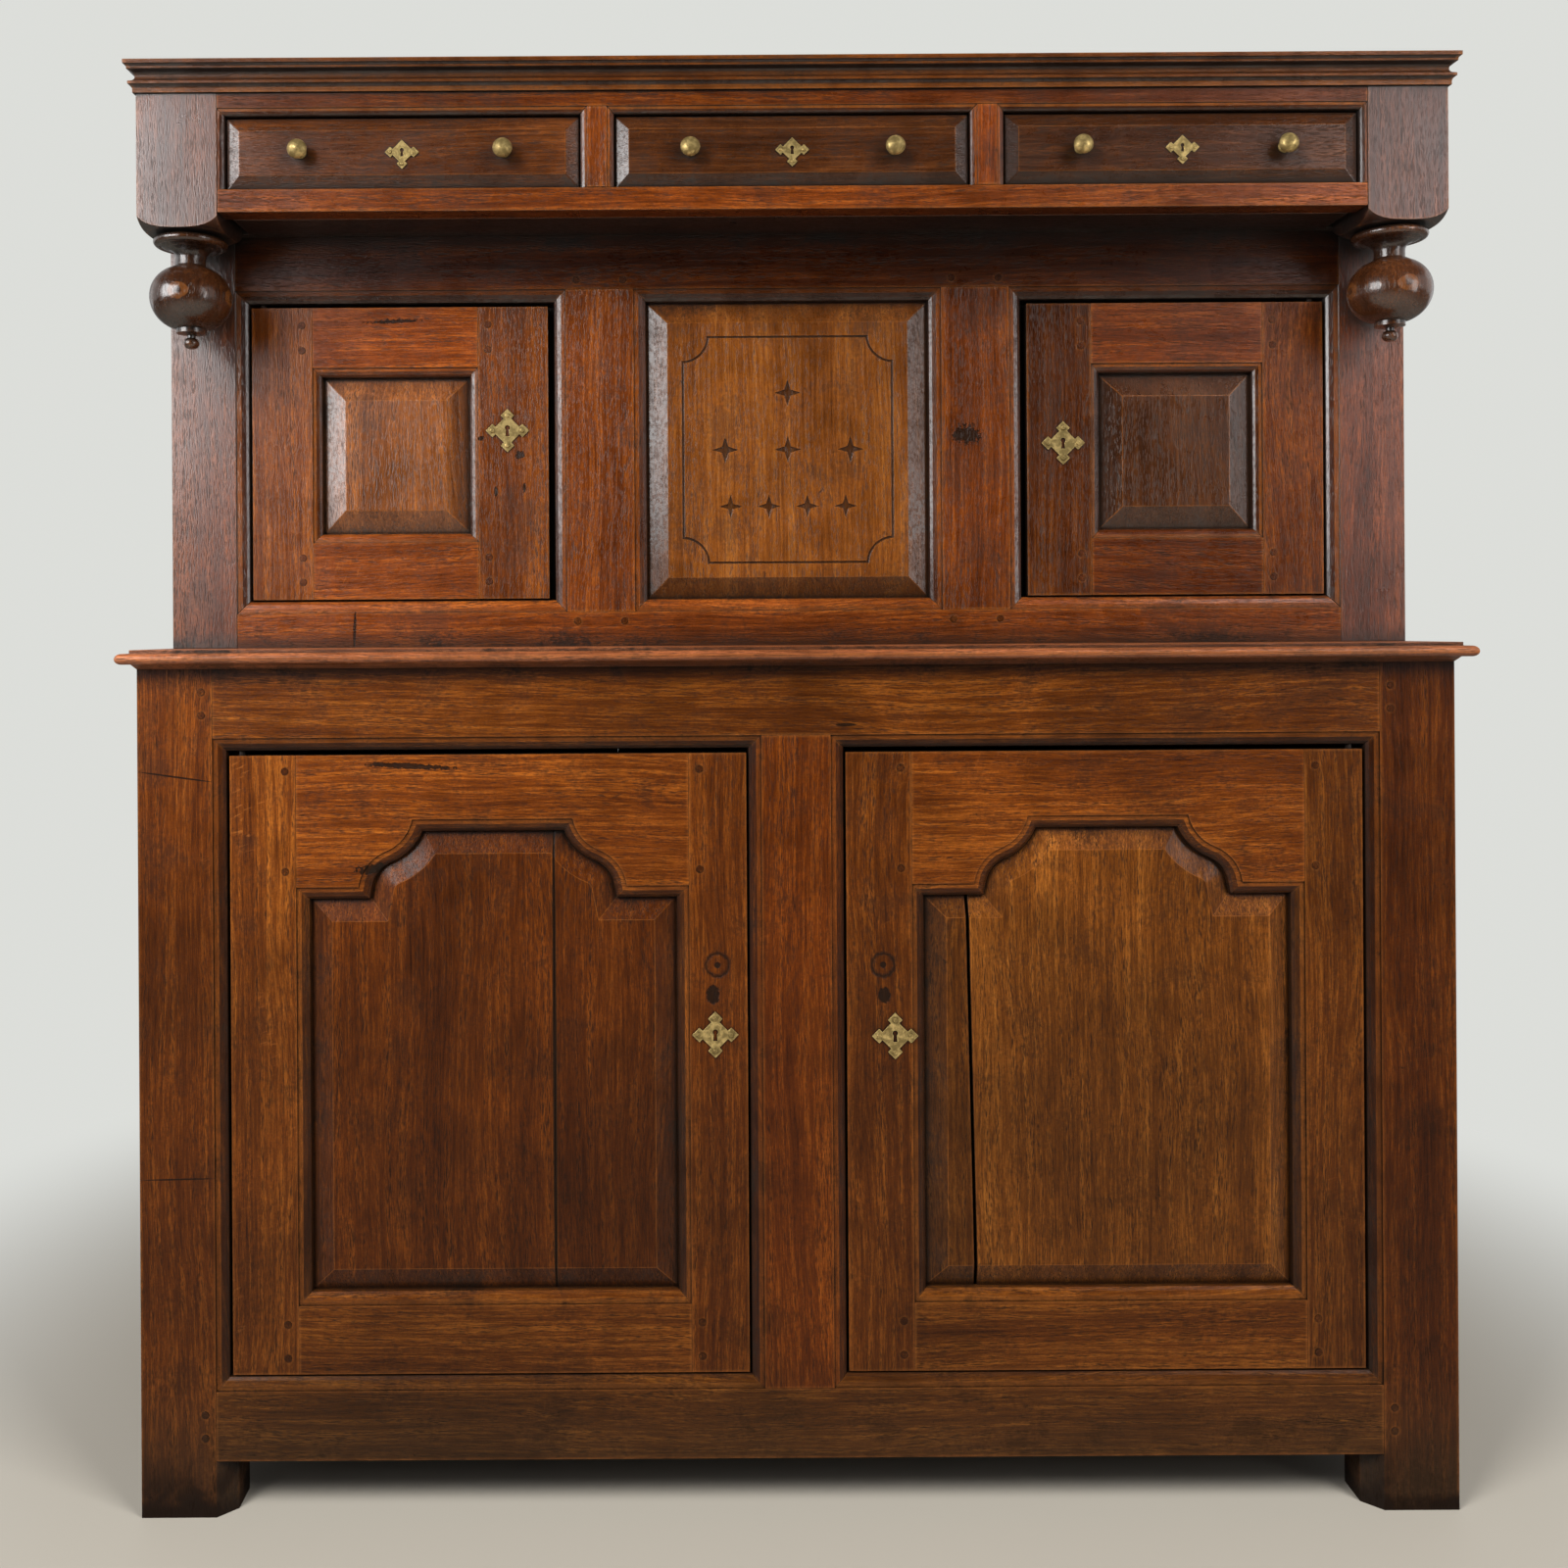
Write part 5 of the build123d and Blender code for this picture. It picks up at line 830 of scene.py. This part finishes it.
    def cuts(self, graph: Graph, place: Socket, squarely: Socket) -> Socket:
        """Returns how dark the lines cut into the flat of the panel are."""
        behind = graph.split(place, "how deep the cut lines go")["Y"]
        cut = graph.step(behind, Step(self.cut_from + CUT_BEGINS, self.cut_from + CUT_ENDS))
        return graph.times(cut, graph.step(squarely, CUT_IN_FLAT_FACE), CUT_DARKNESS)

    def marks(self, graph: Graph, groups: Groups, place: Socket) -> Socket:
        """Draws every scar.

        Args:
            graph: The material's graph.
            groups: The shared node groups.
            place: Object coordinates.

        Returns:
            A mask of all the scars.
        """
        whole = None
        for scar in self.scars:
            mask = graph.group(groups.scar, {
                "Place": place, "Centre": (scar.x, 0.0, scar.z), "Turn": math.radians(scar.turn),
                "Half length": scar.length / 2, "Half width": scar.width / 2, "Ragged": scar.ragged,
                "Hollow": scar.hollow,
            })["Mask"]
            whole = mask if whole is None else graph.math("MAXIMUM", whole, mask)
        return whole


@dataclass(frozen=True)
class MetalFinish:
    """A metal that has been handled and left to tarnish.

    Attributes:
        name: What the finish is called.
        clean: The colour where it is rubbed.
        film: The colour of its tarnish.
        tarnish: How much film it carries.
        polish: Its roughness where it is clean.
        metallic: 1 for bare metal, less under rust or film.
        depth: The height of its unevenness, in metres.
    """

    name: str
    clean: Colour
    film: Colour
    tarnish: float
    polish: float
    metallic: float
    depth: float

    def material(self, groups: Groups) -> bpy.types.Material:
        """Builds the material from the shared tarnish group."""
        graph = Surface(self.name)
        aged = graph.group(groups.tarnish, {
            "Place": graph.node("ShaderNodeTexCoord").outputs["Object"],
            "Openness": graph.openness(METAL_CORNER_REACH),
            "Edge": graph.openness(METAL_EDGE_REACH, inside=True),
            "Clean colour": self.clean, "Film colour": self.film, "Film": self.tarnish, "Polish": self.polish,
        })
        graph.feed_all(graph.shader.inputs, {
            "Base Color": aged["Colour"], "Roughness": aged["Roughness"], "Metallic": self.metallic,
            "Normal": graph.bump(aged["Relief"], self.depth),
        })
        return graph.material


def ringed_hole(x: float, z: float) -> tuple[Scar, Scar]:
    """Returns a plugged hole and the ring pressed into the wood around it."""
    return Scar(x, z, 0.033, 0.033, ragged=0.25, hollow=1.0), Scar(x, z, 0.008, 0.008)


CENTRE_PANEL_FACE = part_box("centre_panel")[0][1]
PANEL_MARKS = (Scar(-0.2740, 0.4800, 0.760, 0.0048, 90.0, 0.15),)
BASE_MARKS = (
    *ringed_hole(-0.0896, 0.6159),
    *ringed_hole(0.0970, 0.6148),
    Scar(-0.0951, 0.5827, 0.017, 0.024, ragged=0.9),
    Scar(0.0981, 0.5805, 0.015, 0.020, ragged=0.9),
    Scar(-0.4374, 0.8422, 0.110, 0.007, -3.0, 1.6),
    Scar(-0.4760, 0.7263, 0.045, 0.012, 4.0, 2.0),
    Scar(-0.6975, 0.8320, 0.090, 0.0022, -8.0, 0.5),
    Scar(0.0560, 0.8860, 0.026, 0.004, 0.0, 0.5),
    Scar(-0.6975, 0.3800, 0.088, 0.0020, 1.0, 0.5),
)
UPPER_MARKS = (
    Scar(-0.5195, 0.9968, 0.047, 0.004, 88.0, 0.8),
    Scar(-0.4700, 1.3660, 0.070, 0.005, 2.0, 2.2),
    Scar(-0.3209, 1.2049, 0.012, 0.010, 0.0, 1.8),
    Scar(-0.3679, 1.2249, 0.008, 0.006, 0.0, 1.2),
    Scar(-0.3503, 1.1602, 0.005, 0.013, 0.0, 1.0),
    Scar(-0.3162, 1.1649, 0.004, 0.012, 0.0, 1.0),
    Scar(0.2140, 1.2250, 0.034, 0.026, 0.0, 2.2),
)

FINISHES: dict[Part, OakFinish | MetalFinish] = {
    Part.BASE_FRAME: OakFinish(
        "waxed oak of the base", dark=(0.018, 0.0034, 0.0006), middle=(0.088, 0.0210, 0.0020),
        light=(0.250, 0.0740, 0.0085), scars=BASE_MARKS),
    Part.BASE_PANEL: OakFinish(
        "oak of the base panels", dark=(0.018, 0.0040, 0.0006), middle=(0.092, 0.0240, 0.0024),
        light=(0.230, 0.0720, 0.0090), pores=1.0, moulding=0.15, wear=0.38, scars=PANEL_MARKS),
    Part.MOULDED_BOARD: OakFinish(
        "oak of the moulded board", dark=(0.030, 0.0080, 0.0030), middle=(0.130, 0.0360, 0.0120),
        light=(0.290, 0.0960, 0.0350), moulding=0.0, wear=0.7, sheen=0.30, polish=0.40),
    Part.UPPER_FRAME: OakFinish(
        "waxed oak of the upper stage", dark=(0.020, 0.0040, 0.0008), middle=(0.098, 0.0220, 0.0030),
        light=(0.260, 0.0720, 0.0100), sheen=0.28, polish=0.34, moulding=0.75, moulding_wax=1.0,
        scars=UPPER_MARKS),
    Part.POSTS: OakFinish(
        "polished oak of the posts", dark=(0.012, 0.0032, 0.0012), middle=(0.052, 0.0130, 0.0045),
        light=(0.140, 0.0400, 0.0120), sheen=0.31, wax=0.45, polish=0.78),
    Part.DRAWER_FRONT: OakFinish(
        "dark oak of the drawers", dark=(0.013, 0.0037, 0.0010), middle=(0.047, 0.0130, 0.0030),
        light=(0.120, 0.0360, 0.0080), sheen=0.26, wax=0.08, polish=0.42, wear=0.30, moulding=0.4,
        moulding_wax=1.0),
    Part.TURNED: OakFinish(
        "turned oak", dark=(0.012, 0.0040, 0.0014), middle=(0.046, 0.0140, 0.0045),
        light=(0.120, 0.0400, 0.0110), sheen=0.16, wax=0.8, wear=0.3, polish=0.45, moulding=0.0),
    Part.UPPER_PANEL: OakFinish(
        "oak of the upper panels", dark=(0.024, 0.0063, 0.0015), middle=(0.094, 0.0270, 0.0050),
        light=(0.200, 0.0660, 0.0138), sheen=0.28, wax=0.08, wear=0.40, polish=0.46, moulding=0.3,
        moulding_wax=0.9),
    Part.NAME_PANEL: OakFinish(
        "golden oak of the centre panel", dark=(0.044, 0.0115, 0.0018), middle=(0.140, 0.0420, 0.0064),
        light=(0.265, 0.0980, 0.0180), pores=0.8, sheen=0.28, polish=0.30, moulding=0.65, moulding_wax=0.8,
        cut_from=CENTRE_PANEL_FACE),
    Part.INSIDE: OakFinish(
        "bare oak inside", dark=(0.080, 0.042, 0.020), middle=(0.160, 0.092, 0.048),
        light=(0.240, 0.150, 0.085), grime=(0.030, 0.020, 0.013), worn=(0.30, 0.19, 0.11), sheen=0.72,
        wear=0.2, moulding=0.0),
    Part.BRASS: MetalFinish(
        "old brass", clean=(0.82, 0.60, 0.24), film=(0.100, 0.068, 0.020), tarnish=0.80, polish=0.20,
        metallic=0.75, depth=0.00008),
    Part.IRON: MetalFinish(
        "black iron", clean=(0.09, 0.075, 0.065), film=(0.022, 0.014, 0.010), tarnish=0.9, polish=0.45,
        metallic=0.6, depth=0.0002),
}


# ---------------------------------------------------------------------------------------------------
# The CAD boards
# ---------------------------------------------------------------------------------------------------


@dataclass(frozen=True)
class BoardTone:
    """How one board differs from its neighbours.

    Attributes:
        x: Roughly where its middle is, from side to side.
        z: Roughly how high its middle is.
        light: How pale it is; 1 is the finish itself.
        red: 0 for a yellower board, 1 for a redder one.
        flecks: 0 for plain wood, 1 for full ray fleck.
    """

    x: float
    z: float
    light: float
    red: float
    flecks: float


NODE_PARTS: dict[Part, tuple[str, ...]] = {
    Part.BASE_FRAME: (
        "base_bottom_rail", "base_muntin", "base_top_rail", "base_side_rails", "front_left_leg",
        "front_right_leg", "rear_legs", "lower_left_door_frame", "lower_right_door_frame", "frame_pegs"),
    Part.BASE_PANEL: ("base_side_panels", "lower_left_door_panel", "lower_right_door_panel"),
    Part.MOULDED_BOARD: ("middle_board",),
    Part.UPPER_FRAME: (
        "upper_rails", "upper_muntins", "upper_left_door_frame", "upper_right_door_frame", "cornice",
        "frieze_bottom_rail", "frieze_muntins", "frieze_top_rail", "canopy_side_boards", "upper_side_rails",
        "upper_rear_posts"),
    Part.POSTS: ("canopy_posts", "soffit_boards", "upper_stiles"),
    Part.DRAWER_FRONT: ("left_drawer_front", "centre_drawer_front", "right_drawer_front"),
    Part.TURNED: ("pendants",),
    Part.UPPER_PANEL: ("upper_side_panels", "upper_left_door_panel", "upper_right_door_panel"),
    Part.NAME_PANEL: ("centre_panel",),
    Part.INSIDE: (
        "base_back_boards", "base_back_rails", "drawer_runners", "floor_bearers", "floor_boards",
        "left_drawer_box", "centre_drawer_box", "right_drawer_box", "top_boards", "upper_back_boards",
        "upper_back_rails"),
    Part.BRASS: (
        "left_drawer_brasses", "centre_drawer_brasses", "right_drawer_brasses",
        "lower_left_door_escutcheon", "lower_right_door_escutcheon", "upper_left_door_escutcheon",
        "upper_right_door_escutcheon"),
    Part.IRON: (
        "lower_left_door_ironwork", "lower_right_door_ironwork", "upper_left_door_ironwork",
        "upper_right_door_ironwork"),
}

BOARD_TONES: dict[str, tuple[BoardTone, ...]] = {
    "front_left_leg": (BoardTone(-0.69, 0.48, 1.05, 0.62, 0.3),),
    "front_right_leg": (BoardTone(0.69, 0.48, 0.70, 0.80, 0.2),),
    "base_top_rail": (BoardTone(0.0, 0.91, 1.02, 0.45, 0.15),),
    "base_bottom_rail": (BoardTone(0.0, 0.10, 1.12, 0.10, 0.2),),
    "base_muntin": (BoardTone(0.0, 0.51, 1.25, 0.90, 0.2),),
    "lower_left_door_frame": (
        BoardTone(-0.60, 0.50, 1.35, 0.45, 0.95), BoardTone(-0.09, 0.50, 1.15, 0.62, 0.2),
        BoardTone(-0.35, 0.78, 1.32, 0.65, 0.15), BoardTone(-0.35, 0.19, 1.40, 0.35, 0.2)),
    "lower_right_door_frame": (
        BoardTone(0.60, 0.50, 0.82, 0.42, 0.3), BoardTone(0.09, 0.50, 1.10, 0.50, 0.3),
        BoardTone(0.35, 0.78, 1.32, 0.60, 0.3), BoardTone(0.35, 0.19, 1.25, 0.30, 0.2)),
    "lower_left_door_panel": (
        BoardTone(-0.42, 0.49, 0.83, 0.98, 0.1), BoardTone(-0.20, 0.49, 0.73, 1.0, 0.1)),
    "lower_right_door_panel": (
        BoardTone(0.16, 0.49, 0.90, 0.35, 0.1), BoardTone(0.38, 0.49, 1.50, 0.30, 0.1)),
    "middle_board": (BoardTone(0.0, 0.96, 1.9, 0.35, 0.1),),
    "upper_stiles": (BoardTone(-0.69, 1.22, 1.60, 0.45, 0.2), BoardTone(0.69, 1.22, 1.60, 0.80, 0.1)),
    "upper_rails": (BoardTone(0.0, 1.00, 1.30, 0.62, 0.2), BoardTone(0.0, 1.43, 0.60, 0.80, 0.1)),
    "upper_muntins": (BoardTone(-0.22, 1.20, 1.10, 0.60, 0.2), BoardTone(0.22, 1.20, 0.92, 0.65, 0.3)),
    "upper_left_door_frame": (
        BoardTone(-0.60, 1.21, 1.20, 0.35, 0.3), BoardTone(-0.34, 1.21, 0.98, 0.40, 0.2),
        BoardTone(-0.47, 1.35, 1.25, 0.80, 0.3), BoardTone(-0.47, 1.07, 1.40, 0.60, 0.6)),
    "upper_right_door_frame": (
        BoardTone(0.60, 1.21, 0.82, 0.60, 0.3), BoardTone(0.33, 1.21, 0.50, 0.50, 0.2),
        BoardTone(0.47, 1.35, 1.10, 0.80, 0.3), BoardTone(0.47, 1.07, 0.66, 0.85, 0.2)),
    "upper_left_door_panel": (BoardTone(-0.47, 1.21, 1.35, 0.55, 0.1),),
    "upper_right_door_panel": (BoardTone(0.47, 1.21, 0.48, 0.60, 0.1),),
    "cornice": (BoardTone(0.0, 1.62, 0.42, 0.60, 0.1),),
    # Toned dark as painted shade under the canopy.
    "soffit_boards": (BoardTone(0.0, 1.47, 0.35, 0.60, 0.1),),
    "frieze_bottom_rail": (BoardTone(0.0, 1.48, 1.18, 0.65, 0.1),),
    "frieze_top_rail": (BoardTone(0.0, 1.59, 0.62, 0.75, 0.1),),
    "frieze_muntins": (BoardTone(-0.22, 1.53, 1.00, 0.60, 0.1), BoardTone(0.22, 1.53, 1.25, 0.80, 0.1)),
    "left_drawer_front": (BoardTone(-0.44, 1.53, 1.35, 0.60, 0.2),),
    "centre_drawer_front": (BoardTone(0.0, 1.53, 0.85, 0.45, 0.2),),
    "right_drawer_front": (BoardTone(0.44, 1.53, 0.75, 0.50, 0.2),),
    "canopy_posts": (BoardTone(-0.69, 1.53, 1.05, 0.55, 0.1), BoardTone(0.69, 1.53, 0.85, 0.65, 0.1)),
}

BOARD_SHIFT = 4.0
LIGHT_RANGE = (0.88, 1.12)
RED_RANGE = (0.35, 0.65)
FLECK_CHOICES = (0.15, 0.3, 0.6)
KNOWN_BOARD_REACH = 0.06
PEG_SIZE = 0.014
PEG_TONE = (0.55, 0.6, 0.0)

SAME_PLACE_DIGITS = 6
WELD_REACH = 1e-5
FLAT_WITHIN = math.radians(0.3)
EDGE_SOFTENING = 0.0009
METAL_SOFTENING = EDGE_SOFTENING / 3
BEVEL_STEPS = 2
SHARPEST_KEPT = math.radians(7)
TURNED_KEPT = math.radians(28)
SHADING_WEIGHT = 60


def places_of(mesh: bpy.types.Mesh) -> np.ndarray:
    """Returns where every vertex of a mesh is, one row each."""
    places = np.empty(len(mesh.vertices) * 3, np.float32)
    mesh.vertices.foreach_get("co", places)
    return places.reshape(-1, 3)


def solids_of(mesh: bpy.types.Mesh) -> list[np.ndarray]:
    """Finds the separate solids of a mesh of loose triangles.

    Args:
        mesh: The mesh, left as it is.

    Returns:
        The vertex numbers of each solid, largest solid first.
    """
    _, same = np.unique(np.round(places_of(mesh), SAME_PLACE_DIGITS), axis=0, return_inverse=True)
    same = same.ravel()
    corners = np.empty(len(mesh.loops), np.int32)
    mesh.loops.foreach_get("vertex_index", corners)
    triangles = same[corners].reshape(-1, 3)
    labels = np.arange(same.max() + 1)
    while True:
        lowest = labels[triangles].min(axis=1)
        spread = labels.copy()
        for corner in range(3):
            np.minimum.at(spread, triangles[:, corner], lowest)
        spread = spread[spread]
        if (spread == labels).all():
            break
        labels = spread
    mine = labels[same]
    solids = [np.flatnonzero(mine == label) for label in np.unique(mine)]
    return sorted(solids, key=len, reverse=True)


def write_boards(node: bpy.types.Object, tones: tuple[BoardTone, ...]) -> int:
    """Gives every board of a node its own coordinates and tone, as two attributes on its vertices.

    Args:
        node: The CAD node.
        tones: Tones chosen for boards at known places. Pegs share one, and the rest get a random one.

    Returns:
        How many boards the node has.
    """
    mesh = node.data
    places = places_of(mesh)
    board, tone = np.zeros_like(places), np.zeros_like(places)
    chance = random.Random(node.name)
    solids = solids_of(mesh)
    for solid in solids:
        low, high = places[solid].min(axis=0), places[solid].max(axis=0)
        longest_first = np.argsort(low - high)
        shift = [chance.uniform(-BOARD_SHIFT, BOARD_SHIFT) for _ in range(3)]
        board[solid] = places[solid][:, longest_first] + shift
        own = (chance.uniform(*LIGHT_RANGE), chance.uniform(*RED_RANGE), chance.choice(FLECK_CHOICES))
        middle_x, _, middle_z = (low + high) / 2
        if (high - low)[[0, 2]].max() < PEG_SIZE:
            own = PEG_TONE
        for known in tones:
            if math.hypot(known.x - middle_x, known.z - middle_z) < KNOWN_BOARD_REACH:
                own = (known.light, known.red, known.flecks)
        tone[solid] = own
    for name, values in (("board", board), ("tone", tone)):
        attribute = mesh.attributes.new(name, "FLOAT_VECTOR", "POINT")
        attribute.data.foreach_set("vector", values.ravel())
    return len(solids)


def soften(node: bpy.types.Object, width: float, kept: float) -> None:
    """Rounds a CAD node's edges with live modifiers; its own vertices stay as they are.

    Args:
        node: The CAD node.
        width: How wide the rounding is.
        kept: Edges that turn less than this stay as they are.
    """
    mesh = node.data
    for spare in ("custom_normal", "sharp_edge", "sharp_face"):
        if spare in mesh.attributes:
            mesh.attributes.remove(mesh.attributes[spare])
    mesh.polygons.foreach_set("use_smooth", [True] * len(mesh.polygons))
    weld = node.modifiers.new("join the triangles", "WELD")
    weld.merge_threshold = WELD_REACH
    flat = node.modifiers.new("join flat faces", "DECIMATE")
    flat.decimate_type = "DISSOLVE"
    flat.angle_limit = FLAT_WITHIN
    bevel = node.modifiers.new("worn edges", "BEVEL")
    bevel.width = width
    bevel.segments = BEVEL_STEPS
    bevel.limit_method = "ANGLE"
    bevel.angle_limit = kept
    bevel.use_clamp_overlap = True
    shade = node.modifiers.new("even shading", "WEIGHTED_NORMAL")
    shade.weight = SHADING_WEIGHT


class Joinery:
    """Every CAD node, dressed in its finish."""

    def __init__(self, nodes: dict[str, bpy.types.Object]) -> None:
        """Keeps the frame's nodes by name."""
        self.nodes = nodes

    def dress(self, materials: dict[Part, bpy.types.Material]) -> None:
        """Softens, tones and finishes each node.

        Args:
            materials: The material of each part.
        """
        for part, names in NODE_PARTS.items():
            metal = part in (Part.BRASS, Part.IRON)
            width = METAL_SOFTENING if metal else EDGE_SOFTENING
            kept = TURNED_KEPT if metal or part is Part.TURNED else SHARPEST_KEPT
            for name in names:
                node = self.nodes[name]
                boards = write_boards(node, BOARD_TONES.get(name, ()))
                soften(node, width, kept)
                node.data.materials.clear()
                node.data.materials.append(materials[part])
                log.info("%s: %d solids, %s", name, boards, part.value)


# ---------------------------------------------------------------------------------------------------
# Studio
# ---------------------------------------------------------------------------------------------------


@dataclass(frozen=True)
class SoftBox:
    """A large soft lamp.

    Attributes:
        name: What the lamp is called.
        place: Where it hangs.
        aim: The point that it faces.
        width: Its width.
        height: Its height.
        power: Its output in watts.
        mirrored: Whether polished surfaces show it.
        lighting: Whether it lights surfaces at all, or is only seen in their gloss.
    """

    name: str
    place: Point
    aim: Point
    width: float
    height: float
    power: float
    mirrored: bool = True
    lighting: bool = True

    def hang(self) -> None:
        """Adds the lamp to the scene."""
        lamp = bpy.data.lights.new(self.name, "AREA")
        lamp.shape = "RECTANGLE"
        lamp.size, lamp.size_y = self.width, self.height
        lamp.energy = self.power
        holder = bpy.data.objects.new(self.name, lamp)
        holder.location = self.place
        holder.visible_glossy = self.mirrored
        holder.visible_diffuse = self.lighting
        holder.rotation_euler = (Vector(self.aim) - Vector(self.place)).to_track_quat("-Z", "Y").to_euler()
        bpy.context.scene.collection.objects.link(holder)
        log.info("%s hung", self.name)


@dataclass(frozen=True)
class Studio:
    """The camera, the lamps, the pale floor and the room's own soft light.

    Attributes:
        image_side: The picture's width and height in pixels.
        focal_pixels: The focal length in those pixels.
        centre_x: Where the lens points across the picture.
        centre_y: Where the lens points down the picture.
        eye: Where the camera stands.
        roll: How far the camera is turned about its view, in radians.
        sensor: The camera's sensor width in millimetres.
        nearest: The nearest that the camera sees.
        boxes: The lamps.
        wall: The colour of the wall behind.
        floor: The colour of the floor.
        floor_roughness: How dull the floor is.
        floor_radius: How far the floor reaches.
        floor_corners: How many corners its round edge has.
        floor_fade: How far out the floor melts into the wall.
        room: How bright the room is, from in front of the cupboard to behind it.
        windows: How bright the windows at its two sides are.
        window_side: How far to the side a view turns to meet them.
        window_rise: How far above level their middle is.
        window_level: How far above or below that they fade.
    """

    image_side: float = 1600.0
    focal_pixels: float = 1445.6
    centre_x: float = 709.9
    centre_y: float = 641.4
    eye: Point = (-0.1118, -1.8392, 0.9952)
    roll: float = 0.0063
    sensor: float = 36.0
    nearest: float = 0.02
    boxes: tuple[SoftBox, ...] = (
        SoftBox("left soft box", (-1.9, -2.2, 3.0), (0.0, 0.0, 0.75), 1.4, 1.4, 160.0, mirrored=False),
        SoftBox("right soft box", (1.9, -2.2, 3.0), (0.0, 0.0, 0.75), 1.4, 1.4, 133.0, mirrored=False),
        SoftBox("left window", (-2.2, -1.7, 1.85), (0.0, -0.2, 1.3), 1.5, 1.3, 49.0, lighting=False),
        SoftBox("right window", (2.2, -1.9, 1.5), (0.0, -0.2, 1.3), 0.6, 1.3, 11.0),
        SoftBox("left strip", (-1.6, -2.1, 1.90), (0.0, 0.0, 1.2), 0.4, 1.1, 8.0),
        SoftBox("right strip", (1.6, -2.1, 2.25), (0.0, 0.0, 1.3), 0.4, 0.9, 3.4),
    )
    wall: Colour = (0.72, 0.73, 0.70)
    floor: Colour = (0.36, 0.33, 0.28)
    floor_roughness: float = 0.6
    floor_radius: float = 30.0
    floor_corners: int = 96
    floor_fade: Step = Step(0.8, 1.7)
    room: Step = Step(-0.2, 0.8, 0.03, 0.35)
    windows: float = 0.5
    window_side: Step = Step(0.66, 0.82)
    window_rise: float = 0.2
    window_level: Step = Step(0.2, 0.4, 1.0, 0.0)

    def build(self) -> None:
        """Sets up everything around the cupboard."""
        self.place_camera()
        for box in self.boxes:
            box.hang()
        self.light_room()
        self.lay_floor()
        bpy.context.scene.view_settings.view_transform = "Standard"

    def place_camera(self) -> None:
        """Stands the camera almost level in front of the cupboard."""
        lens = bpy.data.cameras.new("camera")
        lens.sensor_width = self.sensor
        lens.lens = self.sensor * self.focal_pixels / self.image_side
        lens.shift_x = (self.image_side / 2 - self.centre_x) / self.image_side
        lens.shift_y = (self.centre_y - self.image_side / 2) / self.image_side
        lens.clip_start = self.nearest
        camera = bpy.data.objects.new("camera", lens)
        camera.location = self.eye
        camera.rotation_euler = (math.pi / 2, self.roll, 0.0)
        bpy.context.scene.collection.objects.link(camera)
        bpy.context.scene.camera = camera

    def light_room(self) -> None:
        """Fills the room with soft light, brighter from the pale wall behind than from the front."""
        world = bpy.data.worlds.new("room")
        bpy.context.scene.world = world
        world.use_nodes = True
        graph = Graph(world.node_tree)
        look = graph.split(graph.node("ShaderNodeTexCoord").outputs["Generated"], "where a view looks")
        sideways = graph.step(graph.math("ABSOLUTE", look["X"], 0.0), self.window_side)
        off_level = graph.math("ABSOLUTE", graph.minus(look["Z"], self.window_rise), 0.0)
        windows = graph.times(sideways, graph.step(off_level, self.window_level), self.windows)
        seen = graph.node("ShaderNodeBackground", "the pale wall")
        graph.feed(seen.inputs["Color"], self.wall)
        felt = graph.node("ShaderNodeBackground", "the room's light")
        graph.feed(felt.inputs["Color"], (1.0, 1.0, 1.0))
        graph.feed(felt.inputs["Strength"], graph.plus(graph.step(look["Y"], self.room), windows))
        to_camera = graph.node("ShaderNodeLightPath").outputs["Is Camera Ray"]
        light = graph.either(to_camera, felt.outputs[0], seen.outputs[0])
        graph.feed(graph.node("ShaderNodeOutputWorld").inputs["Surface"], light)

    def lay_floor(self) -> None:
        """Lays a plain pale floor that melts into the pale wall behind the cupboard."""
        bpy.ops.object.select_all(action="DESELECT")
        bpy.ops.mesh.primitive_circle_add(
            vertices=self.floor_corners, radius=self.floor_radius, fill_type="NGON")
        floor = bpy.context.object
        floor.name = "floor"
        graph = Surface("pale floor")
        graph.feed_all(graph.shader.inputs, {"Base Color": self.floor, "Roughness": self.floor_roughness})
        wall = graph.node("ShaderNodeEmission", "the pale wall")
        graph.feed(wall.inputs["Color"], self.wall)
        away = graph.vector("LENGTH", graph.node("ShaderNodeTexCoord").outputs["Object"])
        to_camera = graph.node("ShaderNodeLightPath").outputs["Is Camera Ray"]
        fade = graph.times(graph.step(away, self.floor_fade), to_camera)
        graph.feed(graph.result, graph.either(fade, graph.shader.outputs[0], wall.outputs[0]))
        floor.data.materials.append(graph.material)
        log.info("floor laid")


def main() -> None:
    """Builds the studio, then dresses the cupboard piece by piece."""
    logging.basicConfig(level=logging.INFO, format="%(name)s: %(message)s")
    Studio().build()
    groups = Groups()
    materials = {part: finish.material(groups) for part, finish in FINISHES.items()}
    Joinery(frame["nodes"]).dress(materials)


if __name__ == "__main__":
    main()
